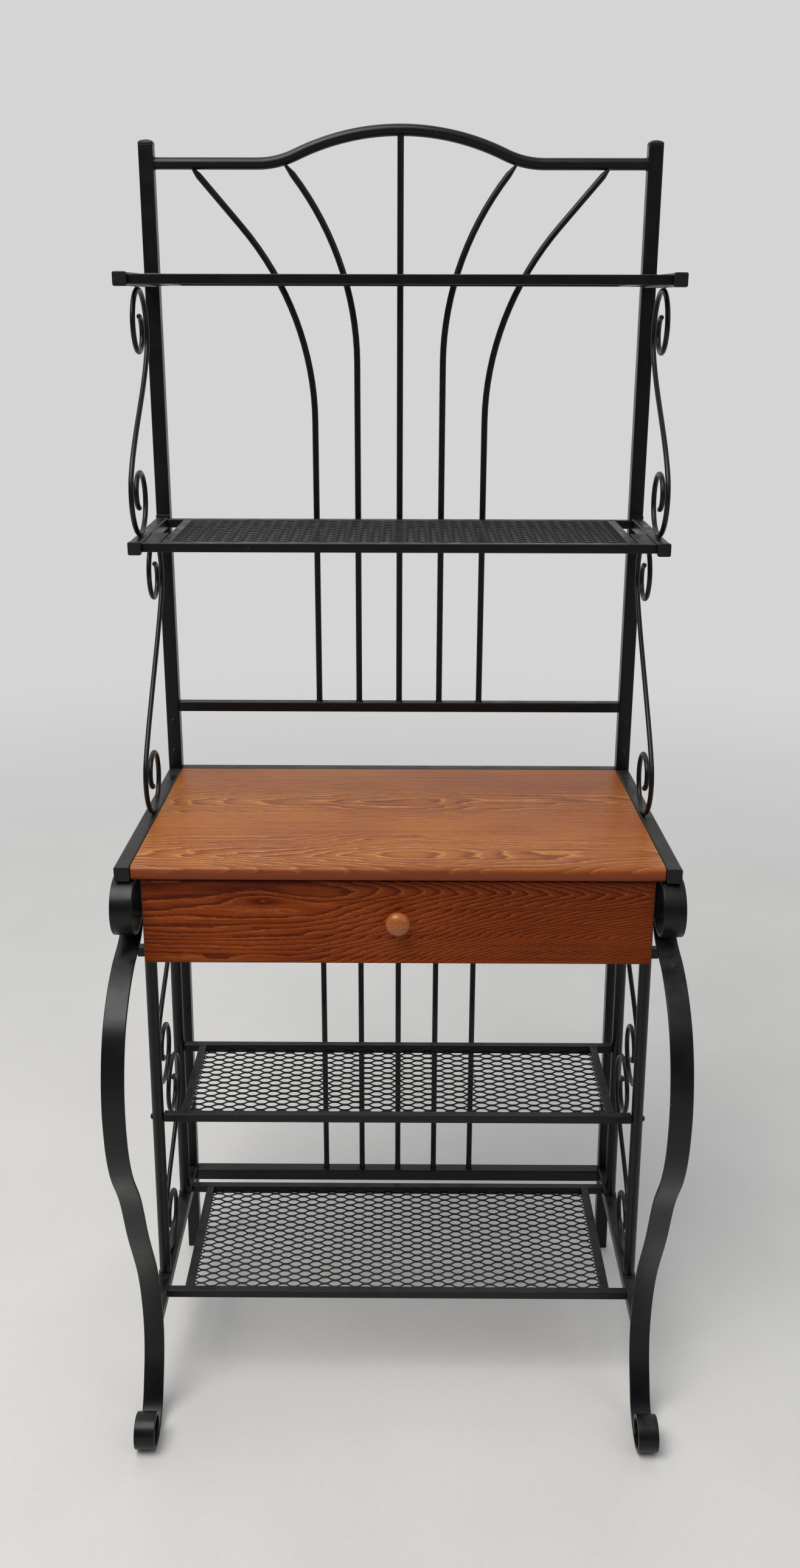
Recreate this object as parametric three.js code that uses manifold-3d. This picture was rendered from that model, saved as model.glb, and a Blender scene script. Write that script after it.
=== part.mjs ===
// A bakers rack: a steel rack with two wall-side shelves, an oak worktop with one drawer, and two
// lower shelves of expanded metal between scrolled side frames.
// Units are millimetres, +Z is up and the front faces -Y. While the rack is built, Y = 0 is the
// front face of the rear uprights. At the end the whole rack is moved so that the origin lies on
// the floor, under the middle of its box.
import * as THREE from "three";
import { mergeVertices } from "three/addons/utils/BufferGeometryUtils.js";
import Module from "manifold-3d";

const wasm = await Module();
wasm.setup();

// The rack as a whole
const rackWidth = 708; // over the two uprights
const uprightHeight = 1764; // floor to the open top of the uprights
const worktopHeight = 876; // floor to the top of the oak board
const topShelfDrop = 167; // from the top of the uprights down to the top shelf's side rails
const midShelfShare = 0.538; // of the way from the worktop up to the top shelf
const lowerShelfHeight = 437;
const bottomShelfHeight = 160;
const footSpread = 8; // how far each foot stands outside the worktop's width
const fit = 0.3; // gap between pieces that are welded, screwed or pushed together

// Steel tube, bar and rod
const tubeSize = 20;
const tubeWall = 1.5;
const stubLength = 95; // the stub of a lower upright inside the upper one
const collarHeight = 4; // the shoulder that the upper upright stands on
const rodDiameter = 9;
const rodSides = 8;
const scrollRodDiameter = 7;
const scrollRodSides = 6;

// Back panel above the worktop
const archTubeDiameter = 16;
const archTubeSides = 12;
const archDrop = 23; // from the top of the uprights down to the arch tube's axis
const archRise = 42.5;
const archHalfSpan = 195;
const archCrownRadius = 340;
const archArcSteps = 6;
const crossRailSize = 15;
const crossRailRise = 106; // from the worktop up to its top
const rodSpacing = 60.5;
const rodsPerSide = 2;
const rodBendRadius = 398;
const rodBendAngle = 41; // degrees
const rodBendSteps = 7;
// From the top of the uprights down to where the inner and the outer rod leave the vertical
const rodBendDrops = [284, 364];
const capRim = 3;
const capDome = 4;
const capPlugLength = 12;

// Back panel below the worktop
const lowerRailTop = 154; // floor to the top of the rail that the lower rods stand on

// The two upper shelves
const shelfRailSize = 16;
const shelfRailWall = 1.2;
const shelfRailLength = 218; // from the uprights to its open front end
const mountPlateThickness = 2;
const mountPlateRise = 3; // how far the plate stands above its rail
const endCapSize = 17.5;
const endCapLength = 6;
const endCapEdge = 1.5;
const shelfFrontInset = 3; // from the rail's front end back to the shelf's front bar
const gussetLength = 74;
const gussetWidth = 21;
const gussetThickness = 2;

// Shelf panels: a frame of square bar with a sheet of expanded metal
const barSize = 12;
const endBarInset = 24; // from the end of the long bars to the end bar's outer face
const netThickness = 2;
const netStrand = 3.4;
const netColumns = 7;
const netRows = 6;
const netMargin = 2.5; // solid edge of the sheet

// Worktop and drawer
const sideRailLength = 380;
const sideRailToeOut = 8; // how far each rail's front end stands outside its rear end
const boardThickness = 20;
const boardSetBack = 2; // from the side rails' front ends to the board's front edge
const boardNose = 6; // radius of its rounded front edges
const noseSteps = 4;
const drawerSetBack = 10; // from the board's front edge to the drawer's front face
const drawerEndGap = 23; // from the uprights' outer faces to the ends of the drawer front
const drawerFrontHeight = 117;
const drawerFrontThickness = 18;
const drawerFrontGap = 3; // under the board
const drawerFrontLip = 7; // how far the drawer front stands past the box on each side
const drawerRearGap = 50; // from the uprights to the back of the drawer box
const drawerSideHeight = 98;
const drawerSideThickness = 12;
const drawerBottomThickness = 6;
const drawerBottomRise = 5; // from the lower edge of the sides to the bottom panel
const runnerThickness = 1.5;
const runnerFlange = 14;
const runnerShortfall = 4; // how much shorter the runners are than the drawer box
const runnerPlay = 1; // between a drawer side and the web of its runner
const drawerHeadroom = 2.5;
const knobNeckDiameter = 16;
const knobWaistDiameter = 13;
const knobHeadDiameter = 32;
const knobLength = 26;
const knobRise = 6; // above the middle of the drawer front
const knobSides = 20;
const frontRailSize = 14;
const frontRailDrop = 163; // from the worktop down to the rail across the front posts
const frontRailEnd = 5; // how far it runs past the posts

// Side frames below the worktop
const postDiameter = 17;
const postWall = 1.5;
const postSides = 16;
const frontPostReach = 258; // from the uprights to the post's axis
const rearPostReach = 66;
const bottomShelfFront = 300; // from the uprights to the bottom shelf's front face
const bottomShelfRear = 41;
const lowerScrollDrop = 132; // from the worktop down to the top of the upper side scrolls

// Scrolls
const curlRadius = 56;
const curlInnerRadius = 14;
const curlTurn = 470; // degrees, from the tip to the stroke
const curlStart = 30; // degrees above level, where the curl runs into the stroke
const curlSteps = 15;
const strokeSteps = 5;
const strokeHandle = 62;
const topScrollReach = [52, 226]; // nearest and furthest point from the uprights
const midScrollReach = [32, 236];

// Front legs: flat bar bent in the plane of the side frame
const legWidth = 29;
const legThickness = 5;
const legSpread = 4; // how far each foot stands outside its leg's top
const bulgeReach = 502;
const bulgeShare = 0.668; // height of the bulge, of the worktop's height
const waistReach = 340;
const waistHeight = 125;
const shoulderReach = 350; // where the leg runs into its top curl
const shoulderDrop = 94; // below the worktop's side rails
const topCurlReach = 361;
const topCurlRadius = 37;
const topCurlEnd = -130; // degrees
const topCurlSteps = 12;
const footCurlReach = 424;
const footCurlRadius = 25;
const footCurlInnerRadius = 18;
const footCurlEnd = 235; // degrees
const footCurlSteps = 10;
// Shares of the way from the waist to the bulge, in reach and in height
const thighShares = [
  [0.02, 0.117],
  [0.12, 0.254],
  [0.41, 0.467],
  [0.62, 0.65],
  [0.865, 0.79],
  [0.965, 0.89],
];
// Shares of the way from the bulge to the shoulder
const shoulderShares = [
  [0.006, 0.13],
  [0.035, 0.28],
  [0.105, 0.465],
  [0.22, 0.635],
  [0.41, 0.79],
  [0.67, 0.915],
];
// Shares of the way from the waist to the lowest point of the foot curl
const ankleShares = [
  [0.09, 0.33],
  [0.24, 0.58],
  [0.4, 0.8],
  [0.58, 0.91],
  [0.78, 0.975],
];

// Places that follow from the sizes
const topShelfHeight = uprightHeight - topShelfDrop; // floor to the top of its side rails
const midShelfHeight = worktopHeight + midShelfShare * (topShelfHeight - worktopHeight);
const crossRailHeight = worktopHeight + crossRailRise;
const frontRailTop = worktopHeight - frontRailDrop;
const lowerScrollTop = worktopHeight - lowerScrollDrop;
const boardFront = sideRailLength - boardSetBack; // from the uprights to its front edge
const drawerFace = boardFront - drawerSetBack;
const sideX = (rackWidth - tubeSize) / 2;
const upperRailInner = sideX - shelfRailSize / 2;
const railUnderside = worktopHeight - tubeSize;
const panelMiddleY = tubeSize / 2;
const leanAt = (z, spread) => (spread * Math.max(worktopHeight - z, 0)) / worktopHeight;
const sideAt = (z) => sideX + leanAt(z, footSpread);
const radians = THREE.MathUtils.degToRad;

const steel = new THREE.MeshStandardMaterial({ color: 0x1b1e1e, roughness: 0.45, metalness: 0.6 });
const cap = new THREE.MeshStandardMaterial({ color: 0x121414, roughness: 0.6, metalness: 0 });
const net = new THREE.MeshStandardMaterial({ color: 0x191b1b, roughness: 0.5, metalness: 0.6 });
const oak = new THREE.MeshStandardMaterial({ color: 0xa55a26, roughness: 0.45, metalness: 0 });
const redOak = new THREE.MeshStandardMaterial({ color: 0x8a3f1c, roughness: 0.5, metalness: 0 });
const plywood = new THREE.MeshStandardMaterial({ color: 0xb98f5e, roughness: 0.7, metalness: 0 });
const zinc = new THREE.MeshStandardMaterial({ color: 0x9a9c9c, roughness: 0.4, metalness: 0.9 });

// Solids and booleans
function solid(geometry) {
  const bare = geometry.clone();
  bare.deleteAttribute("normal");
  bare.deleteAttribute("uv");
  const merged = mergeVertices(bare);
  return new wasm.Manifold(
    new wasm.Mesh({
      numProp: 3,
      vertProperties: new Float32Array(merged.attributes.position.array),
      triVerts: new Uint32Array(merged.index.array),
    }),
  );
}

function geometryOf(manifold) {
  const mesh = manifold.getMesh();
  const geometry = new THREE.BufferGeometry();
  geometry.setAttribute("position", new THREE.BufferAttribute(mesh.vertProperties, 3));
  geometry.setIndex(new THREE.BufferAttribute(mesh.triVerts, 1));
  geometry.computeVertexNormals();
  return geometry;
}

const join = (...geometries) =>
  geometryOf(geometries.map(solid).reduce((whole, piece) => whole.add(piece)));
const cut = (geometry, ...tools) =>
  geometryOf(tools.map(solid).reduce((rest, tool) => rest.subtract(tool), solid(geometry)));
// What a cut right through a piece leaves on its larger side
function cutShort(geometry, tool) {
  const rest = solid(geometry).subtract(solid(tool)).decompose();
  return geometryOf(rest.reduce((a, b) => (a.volume() > b.volume() ? a : b)));
}

// A block given by its lowest and highest corners
function block(low, high) {
  const size = high.map((value, i) => value - low[i]);
  const middle = high.map((value, i) => (value + low[i]) / 2);
  return new THREE.BoxGeometry(...size).translate(...middle);
}

function squareOutline(size) {
  const half = size / 2;
  return [
    new THREE.Vector2(-half, -half),
    new THREE.Vector2(half, -half),
    new THREE.Vector2(half, half),
    new THREE.Vector2(-half, half),
  ];
}

function roundOutline(diameter, sides) {
  const points = [];
  for (let i = 0; i < sides; i++) {
    const angle = (2 * Math.PI * (i + 0.5)) / sides;
    points.push(
      new THREE.Vector2((diameter / 2) * Math.cos(angle), (diameter / 2) * Math.sin(angle)),
    );
  }
  return points;
}

// A straight tube or bar standing on Z = 0, with a bore when an inner outline is given
function standing(outline, length, bore) {
  const shape = new THREE.Shape(outline);
  if (bore) shape.holes.push(new THREE.Path(bore));
  return new THREE.ExtrudeGeometry(shape, { depth: length, bevelEnabled: false });
}

const squareTube = (size, wall, length) =>
  standing(squareOutline(size), length, squareOutline(size - 2 * wall));

// The same tube lying along Y, from the wall side to the front
const lyingForward = (geometry) => geometry.rotateX(Math.PI / 2);

// The same tube lying along X, middle at X = 0
const lyingAcross = (geometry, length) =>
  geometry.rotateY(Math.PI / 2).translate(-length / 2, 0, 0);

// A bend line whose sections lie exactly on the given points
class BendLine extends THREE.CatmullRomCurve3 {
  getUtoTmapping(u) {
    return u;
  }
}

function bend(outline, points) {
  return new THREE.ExtrudeGeometry(new THREE.Shape(outline), {
    extrudePath: new BendLine(points, false, "centripetal"),
    steps: points.length - 1,
    bevelEnabled: false,
  });
}

// The lower frames stand a little wider at the floor than at the worktop
function lean(geometry, spread = footSpread) {
  const place = geometry.attributes.position;
  for (let i = 0; i < place.count; i++) {
    place.setX(i, place.getX(i) + leanAt(place.getZ(i), spread));
  }
  return geometry;
}

// The worktop's sides stand a little wider at the front than at the uprights
function toeOut(geometry) {
  const place = geometry.attributes.position;
  for (let i = 0; i < place.count; i++) {
    const outward = (-place.getY(i) * sideRailToeOut) / sideRailLength;
    place.setX(i, place.getX(i) + Math.sign(place.getX(i)) * outward);
  }
  return geometry;
}

// A point in the plane of a side frame, given by its reach from the uprights and its height
const inSidePlane = ([reach, height]) => new THREE.Vector3(sideX, -reach, height);

// Back panel
function upperUpright() {
  return squareTube(tubeSize, tubeWall, uprightHeight - worktopHeight)
    .translate(sideX, panelMiddleY, worktopHeight);
}

// A square piece turned from a profile of half widths and heights, closed on itself or the axis
function squareTurned(profile) {
  const points = profile.map(([half, height]) => new THREE.Vector2(half * Math.SQRT2, height));
  return new THREE.LatheGeometry(points, 4, Math.PI / 4).rotateX(Math.PI / 2);
}

function lowerUpright() {
  const outer = tubeSize / 2;
  const bore = outer - tubeWall;
  const stub = bore - fit;
  const stubBore = stub - tubeWall;
  const shoulder = worktopHeight - fit;
  const profile = [
    [outer, 0],
    [outer, shoulder],
    [stub, shoulder],
    [stub, shoulder + stubLength],
    [stubBore, shoulder + stubLength],
    [stubBore, shoulder - collarHeight],
    [bore, shoulder - collarHeight],
    [bore, 0],
    [outer, 0],
  ];
  return lean(squareTurned(profile).translate(sideX, panelMiddleY, 0));
}

function uprightCap() {
  const half = tubeSize / 2;
  const plug = half - tubeWall - fit;
  const domeShares = [
    [0.86, 0.45],
    [0.6, 0.8],
    [0.3, 0.96],
  ];
  const profile = [
    [0, -capPlugLength],
    [plug, -capPlugLength],
    [plug, fit],
    [half, fit],
    [half, capRim],
    ...domeShares.map(([across, up]) => [across * half, capRim + up * capDome]),
    [0, capRim + capDome],
  ];
  return squareTurned(profile).translate(sideX, panelMiddleY, uprightHeight);
}

const archEndHeight = uprightHeight - archDrop;

// Two hollow shoulders and a round crown, each an arc, tangent where they meet
function archLine(halfLength) {
  const radiusSum = (archHalfSpan ** 2 + archRise ** 2) / (2 * archRise);
  const shoulderRadius = radiusSum - archCrownRadius;
  const sweep = Math.asin(archHalfSpan / radiusSum);
  const crownZ = archEndHeight + archRise - archCrownRadius;
  const half = [];
  for (let i = 0; i <= archArcSteps; i++) {
    const angle = (sweep * i) / archArcSteps;
    half.push([archCrownRadius * Math.sin(angle), crownZ + archCrownRadius * Math.cos(angle)]);
  }
  for (let i = 1; i <= archArcSteps; i++) {
    const angle = sweep * (1 - i / archArcSteps);
    half.push([
      archHalfSpan - shoulderRadius * Math.sin(angle),
      archEndHeight + shoulderRadius * (1 - Math.cos(angle)),
    ]);
  }
  half.push([halfLength, archEndHeight]);
  const left = half.slice(1).reverse().map(([x, z]) => [-x, z]);
  return [...left, ...half].map(([x, z]) => new THREE.Vector3(x, panelMiddleY, z));
}

const archHalfLength = sideX - tubeSize / 2 - fit;

function archRail(extra = 0) {
  return bend(
    roundOutline(archTubeDiameter + 2 * extra, archTubeSides),
    archLine(archHalfLength),
  );
}

function backCrossRail() {
  const length = 2 * archHalfLength;
  return lyingAcross(squareTube(crossRailSize, tubeWall, length), length)
    .translate(0, panelMiddleY, crossRailHeight - crossRailSize / 2);
}

// Height of the arch tube's axis over a point of the back panel
function archHeightAt(x) {
  const line = archLine(archHalfLength);
  const next = line.findIndex((point) => point.x > x);
  const [a, b] = [line[next - 1], line[next]];
  return a.z + ((b.z - a.z) * (x - a.x)) / (b.x - a.x);
}

// A rod of the back panel, counted from the middle outward
function backRod(count) {
  const foot = crossRailHeight + fit;
  const start = count * rodSpacing;
  const points = [new THREE.Vector3(start, panelMiddleY, foot)];
  if (count > 0) {
    const bendHeight = uprightHeight - rodBendDrops[count - 1];
    for (let i = 0; i <= rodBendSteps; i++) {
      const angle = (radians(rodBendAngle) * i) / rodBendSteps;
      points.push(
        new THREE.Vector3(
          start + rodBendRadius * (1 - Math.cos(angle)),
          panelMiddleY,
          bendHeight + rodBendRadius * Math.sin(angle),
        ),
      );
    }
  }
  // The last length is straight and ends at the arch tube's axis
  const last = points[points.length - 1];
  const slope = count > 0 ? Math.tan(radians(rodBendAngle)) : 0;
  let rise = archHeightAt(last.x) - last.z;
  for (let pass = 0; pass < rodBendSteps; pass++) {
    rise = archHeightAt(last.x + slope * rise) - last.z;
  }
  points.push(new THREE.Vector3(last.x + slope * rise, panelMiddleY, last.z + rise));
  return cut(bend(roundOutline(rodDiameter, rodSides), points), archRail(fit));
}

function worktopRearRail() {
  const length = 2 * archHalfLength;
  return lyingAcross(squareTube(tubeSize, tubeWall, length), length)
    .translate(0, panelMiddleY, worktopHeight - tubeSize / 2);
}

function lowerBackGrille() {
  const railMiddle = lowerRailTop - tubeSize / 2;
  const length = 2 * (sideAt(lowerRailTop) - tubeSize / 2 - fit);
  const rail = lyingAcross(squareTube(tubeSize, tubeWall, length), length)
    .translate(0, panelMiddleY, railMiddle);
  const rods = [];
  for (let count = -rodsPerSide; count <= rodsPerSide; count++) {
    const foot = lowerRailTop - tubeWall / 2;
    rods.push(
      standing(roundOutline(rodDiameter, rodSides), railUnderside - fit - foot)
        .translate(count * rodSpacing, panelMiddleY, foot),
    );
  }
  return join(rail, ...rods);
}

// Upper shelves
function shelfSideRail(height) {
  const weld = fit + mountPlateThickness / 2;
  const rail = lyingForward(squareTube(shelfRailSize, shelfRailWall, shelfRailLength - weld))
    .translate(sideX, -weld, height - shelfRailSize / 2);
  const plate = block(
    [sideX - tubeSize / 2, -fit - mountPlateThickness, height - shelfRailSize],
    [sideX + tubeSize / 2, -fit, height + mountPlateRise],
  );
  return join(rail, plate);
}

function shelfEndCap(height) {
  const half = endCapSize / 2;
  const plug = shelfRailSize / 2 - shelfRailWall - fit;
  const profile = [
    [0, -capPlugLength],
    [plug, -capPlugLength],
    [plug, fit],
    [half, fit],
    [half, endCapLength - endCapEdge],
    [half - endCapEdge, endCapLength],
    [0, endCapLength],
  ];
  return lyingForward(squareTurned(profile))
    .translate(sideX, -shelfRailLength, height - shelfRailSize / 2);
}

// A shelf panel's frame: two long bars and two end bars, in one weldment
function shelfFrame({ halfLength, front, rear, top }) {
  const endOuter = halfLength - endBarInset;
  const endInner = endOuter - barSize;
  const whole = block([-halfLength, -front, top - barSize], [halfLength, -rear, top]);
  const gap = (from, to) =>
    block(
      [from, barSize - front, top - barSize - fit],
      [to, -rear - barSize, top + fit],
    );
  return cut(
    whole,
    gap(-endInner, endInner),
    gap(endOuter, halfLength + fit),
    gap(-halfLength - fit, -endOuter),
  );
}

// The two small plates behind the front corners of an upper shelf
function gussets({ halfLength, front, top }) {
  const plateTop = top - fit;
  return [-1, 1].map((side) => {
    const inner = side * (halfLength - fit - gussetWidth);
    const outer = side * (halfLength - fit);
    return block(
      [Math.min(inner, outer), barSize / 2 - front, plateTop - gussetThickness],
      [Math.max(inner, outer), barSize + gussetLength - front, plateTop],
    );
  });
}

// A flat sheet with staggered rows of diamond gaps, inside the frame's bars
function expandedNet({ halfLength, front, rear, netTop }) {
  const halfWidth = halfLength - endBarInset - barSize - fit;
  const low = -front + barSize + fit;
  const high = -rear - barSize - fit;
  const sheet = new THREE.Shape([
    new THREE.Vector2(-halfWidth, low),
    new THREE.Vector2(halfWidth, low),
    new THREE.Vector2(halfWidth, high),
    new THREE.Vector2(-halfWidth, high),
  ]);
  const columnPitch = (2 * (halfWidth - netMargin)) / netColumns;
  const rowPitch = (high - low - 2 * netMargin) / netRows;
  const gapHalfLength = (columnPitch - 2 * netStrand) / 2;
  const gapHalfWidth = (rowPitch - netStrand) / 2;
  const rowCount = 2 * netRows - 1;
  for (let row = 0; row < rowCount; row++) {
    const shifted = row % 2;
    const y = low + netMargin + (rowPitch * (row + 1)) / 2;
    for (let column = 0; column < netColumns - shifted; column++) {
      const x = -halfWidth + netMargin + columnPitch * (column + (shifted + 1) / 2);
      sheet.holes.push(
        new THREE.Path([
          new THREE.Vector2(x - gapHalfLength, y),
          new THREE.Vector2(x, y + gapHalfWidth),
          new THREE.Vector2(x + gapHalfLength, y),
          new THREE.Vector2(x, y - gapHalfWidth),
        ]),
      );
    }
  }
  return new THREE.ExtrudeGeometry(sheet, { depth: netThickness, bevelEnabled: false })
    .translate(0, 0, netTop - netThickness);
}

// An S of round rod between four limits, alike when it is turned by half a turn
function scroll({ reach: [rear, front], bottom, top }) {
  const rodRadius = scrollRodDiameter / 2;
  const growth = (curlRadius - curlInnerRadius) / (curlTurn - curlStart);
  const middle = [(rear + front) / 2, (bottom + top) / 2];
  const quarter = 90;
  const curl = [];
  for (let i = 0; i <= curlSteps; i++) {
    const angle = curlStart - curlTurn * (1 - i / curlSteps);
    const radius = curlRadius + growth * angle;
    curl.push([radius * Math.cos(radians(angle)), radius * Math.sin(radians(angle))]);
  }
  // The lower curl rests on the lower limit and reaches the front one
  const furthest = Math.max(...curl.map(([reach]) => reach));
  const lowest = Math.min(...curl.map(([, height]) => height));
  const half = curl.map(([reach, height]) => [
    reach + front - rodRadius - furthest,
    height + bottom + rodRadius - lowest,
  ]);
  const turned = ([y, z]) => [2 * middle[0] - y, 2 * middle[1] - z];
  // The stroke leaves both curls along their own direction
  const start = half[curlSteps];
  const heading = radians(curlStart + quarter);
  const handle = [
    start[0] + strokeHandle * Math.cos(heading),
    start[1] + strokeHandle * Math.sin(heading),
  ];
  const stroke = new THREE.CubicBezierCurve(
    ...[start, handle, turned(handle), turned(start)].map((p) => new THREE.Vector2(...p)),
  );
  const between = stroke.getPoints(strokeSteps).slice(1, -1).map((p) => [p.x, p.y]);
  const line = [...half, ...between, ...half.map(turned).reverse()];
  return bend(roundOutline(scrollRodDiameter, scrollRodSides), line.map(inSidePlane));
}

// Side frames
function worktopSideRail() {
  const rail = lyingForward(squareTube(tubeSize, tubeWall, sideRailLength - fit))
    .translate(sideX, -fit, worktopHeight - tubeSize / 2);
  const lid = block(
    [sideX - tubeSize / 2, -sideRailLength, railUnderside],
    [sideX + tubeSize / 2, tubeWall - sideRailLength, worktopHeight],
  );
  return toeOut(join(rail, lid));
}

function post(reach) {
  const length = railUnderside - bottomShelfHeight;
  const bore = roundOutline(postDiameter - 2 * postWall, postSides);
  return lean(
    standing(roundOutline(postDiameter, postSides), length, bore)
      .translate(sideX, -reach, bottomShelfHeight),
  );
}

// The bend line of a front leg, from inside its top curl to inside its foot curl
function legLine() {
  const topCurlHeight = railUnderside - fit - topCurlRadius - legThickness / 2;
  const footCurlHeight = footCurlRadius + legThickness / 2;
  const quarter = 90;
  const shoulder = [shoulderReach, railUnderside - shoulderDrop];
  const away = [shoulder[0] - topCurlReach, shoulder[1] - topCurlHeight];
  const shoulderRadius = Math.hypot(...away);
  const shoulderAngle = THREE.MathUtils.radToDeg(Math.atan2(away[1], away[0])) + 4 * quarter;
  const line = [];
  for (let i = 0; i <= topCurlSteps; i++) {
    const angle = topCurlEnd + ((shoulderAngle - topCurlEnd) * i) / topCurlSteps;
    const past = Math.max(angle - quarter, 0) / (shoulderAngle - quarter);
    const radius = topCurlRadius + (shoulderRadius - topCurlRadius) * past ** 2;
    line.push([
      topCurlReach + radius * Math.cos(radians(angle)),
      topCurlHeight + radius * Math.sin(radians(angle)),
    ]);
  }
  const along = (from, to) => ([a, b]) => [
    from[0] + (to[0] - from[0]) * a,
    from[1] + (to[1] - from[1]) * b,
  ];
  const bulge = [bulgeReach, bulgeShare * worktopHeight];
  const waist = [waistReach, waistHeight];
  const toe = [footCurlReach, legThickness / 2];
  line.push(...shoulderShares.map(along(bulge, shoulder)).reverse());
  line.push(bulge);
  line.push(...thighShares.map(along(waist, bulge)).reverse());
  line.push(waist);
  line.push(...ankleShares.map(along(waist, toe)));
  for (let i = 0; i <= footCurlSteps; i++) {
    const share = i / footCurlSteps;
    const angle = -quarter + (footCurlEnd + quarter) * share;
    const radius = footCurlRadius + (footCurlInnerRadius - footCurlRadius) * share;
    line.push([
      footCurlReach + radius * Math.cos(radians(angle)),
      footCurlHeight + radius * Math.sin(radians(angle)),
    ]);
  }
  return line;
}

function leg(extra = 0) {
  const halfWidth = legWidth / 2 + extra;
  const halfThickness = legThickness / 2 + extra;
  const outline = [
    new THREE.Vector2(-halfWidth, -halfThickness),
    new THREE.Vector2(halfWidth, -halfThickness),
    new THREE.Vector2(halfWidth, halfThickness),
    new THREE.Vector2(-halfWidth, halfThickness),
  ];
  const bar = bend(outline, legLine().map(inSidePlane));
  return lean(bar.translate(sideRailToeOut, 0, 0), legSpread);
}

// The rail runs from the upright to the leg and is coped to it
function bottomSideRail() {
  const length = waistReach + legThickness - fit;
  const rail = lean(
    lyingForward(squareTube(tubeSize, tubeWall, length))
      .translate(sideX, -fit, bottomShelfHeight - tubeSize / 2),
  );
  return cutShort(rail, leg(fit));
}

function frontCrossRail() {
  const top = frontRailTop;
  const length = 2 * (sideAt(top) + postDiameter / 2 + frontRailEnd);
  return lyingAcross(squareTube(frontRailSize, tubeWall, length), length)
    .translate(
      0,
      -frontPostReach - postDiameter / 2 - fit - frontRailSize / 2,
      top - frontRailSize / 2,
    );
}

// Worktop and drawer
function worktopBoard() {
  const halfWidth = sideX - tubeSize / 2 - fit;
  const low = worktopHeight - boardThickness;
  const nose = (centreZ, from) => {
    const points = [];
    for (let i = 0; i <= noseSteps; i++) {
      const angle = from + (Math.PI / 2) * (i / noseSteps);
      points.push(
        new THREE.Vector2(
          boardFront - boardNose + boardNose * Math.cos(angle),
          centreZ + boardNose * Math.sin(angle),
        ),
      );
    }
    return points;
  };
  const outline = [
    new THREE.Vector2(fit, low),
    ...nose(low + boardNose, -Math.PI / 2),
    ...nose(worktopHeight - boardNose, 0),
    new THREE.Vector2(fit, worktopHeight),
  ];
  // The outline is drawn over reach and height, then turned so that reach points forward
  const board = standing(outline, 2 * halfWidth)
    .applyMatrix4(new THREE.Matrix4().makeBasis(
      new THREE.Vector3(0, -1, 0),
      new THREE.Vector3(0, 0, 1),
      new THREE.Vector3(-1, 0, 0),
    ))
    .translate(halfWidth, 0, 0);
  return toeOut(board);
}

const drawerWidth = rackWidth - 2 * drawerEndGap;
const drawerBoxWidth = drawerWidth - 2 * drawerFrontLip;
const drawerFrontTop = railUnderside - drawerFrontGap;
const drawerFrontBottom = drawerFrontTop - drawerFrontHeight;
const drawerBack = drawerFace - drawerFrontThickness;
const drawerSideTop = railUnderside - runnerThickness - drawerHeadroom;
const drawerSideBottom = drawerSideTop - drawerSideHeight;
const runnerLength = drawerBack - drawerRearGap - runnerShortfall;

function drawerFront() {
  return block(
    [-drawerWidth / 2, -drawerFace, drawerFrontBottom],
    [drawerWidth / 2, -drawerBack, drawerFrontTop],
  );
}

function drawerSide() {
  const outer = drawerBoxWidth / 2;
  return block(
    [outer - drawerSideThickness, fit - drawerBack, drawerSideBottom],
    [outer, -drawerRearGap, drawerSideTop],
  );
}

const drawerInnerHalf = drawerBoxWidth / 2 - drawerSideThickness - fit;

function drawerRear() {
  return block(
    [-drawerInnerHalf, -drawerRearGap - drawerSideThickness, drawerSideBottom],
    [drawerInnerHalf, -drawerRearGap, drawerSideTop],
  );
}

function drawerBottom() {
  const low = drawerSideBottom + drawerBottomRise;
  return block(
    [-drawerInnerHalf, fit - drawerBack, low],
    [drawerInnerHalf, -drawerRearGap - drawerSideThickness - fit, low + drawerBottomThickness],
  );
}

function drawerKnob() {
  const neck = knobNeckDiameter / 2;
  const head = knobHeadDiameter / 2;
  // Shares of the knob's length, and of the head's radius and the knob's length
  const neckShare = 0.08;
  const waistShare = 0.22;
  const headShares = [
    [0.62, 0.34],
    [0.88, 0.44],
    [1, 0.6],
    [0.95, 0.77],
    [0.76, 0.91],
    [0.42, 0.98],
  ];
  const profile = [
    [0, fit],
    [neck, fit],
    [neck, neckShare * knobLength],
    [knobWaistDiameter / 2, waistShare * knobLength],
    ...headShares.map(([across, out]) => [across * head, out * knobLength]),
    [0, knobLength],
  ].map(([radius, out]) => new THREE.Vector2(radius, out));
  return lyingForward(new THREE.LatheGeometry(profile, knobSides).rotateX(Math.PI / 2))
    .translate(0, -drawerFace, (drawerFrontTop + drawerFrontBottom) / 2 + knobRise);
}

// A C channel screwed under the board, open towards the drawer
function drawerRunner() {
  const web = drawerBoxWidth / 2 + runnerPlay;
  const low = drawerSideBottom - fit - runnerThickness;
  const outline = [
    new THREE.Vector2(web + runnerThickness, low),
    new THREE.Vector2(web + runnerThickness, railUnderside),
    new THREE.Vector2(web - runnerFlange, railUnderside),
    new THREE.Vector2(web - runnerFlange, railUnderside - runnerThickness),
    new THREE.Vector2(web, railUnderside - runnerThickness),
    new THREE.Vector2(web, low + runnerThickness),
    new THREE.Vector2(web - runnerFlange, low + runnerThickness),
    new THREE.Vector2(web - runnerFlange, low),
  ];
  return lyingForward(standing(outline, runnerLength))
    .translate(0, runnerLength - drawerBack + drawerFrontGap, 0);
}

// Assembly
const rack = new THREE.Group();

function place(parent, name, geometry, material) {
  const mesh = new THREE.Mesh(geometry, material);
  mesh.name = name;
  parent.add(mesh);
  return mesh;
}

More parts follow.
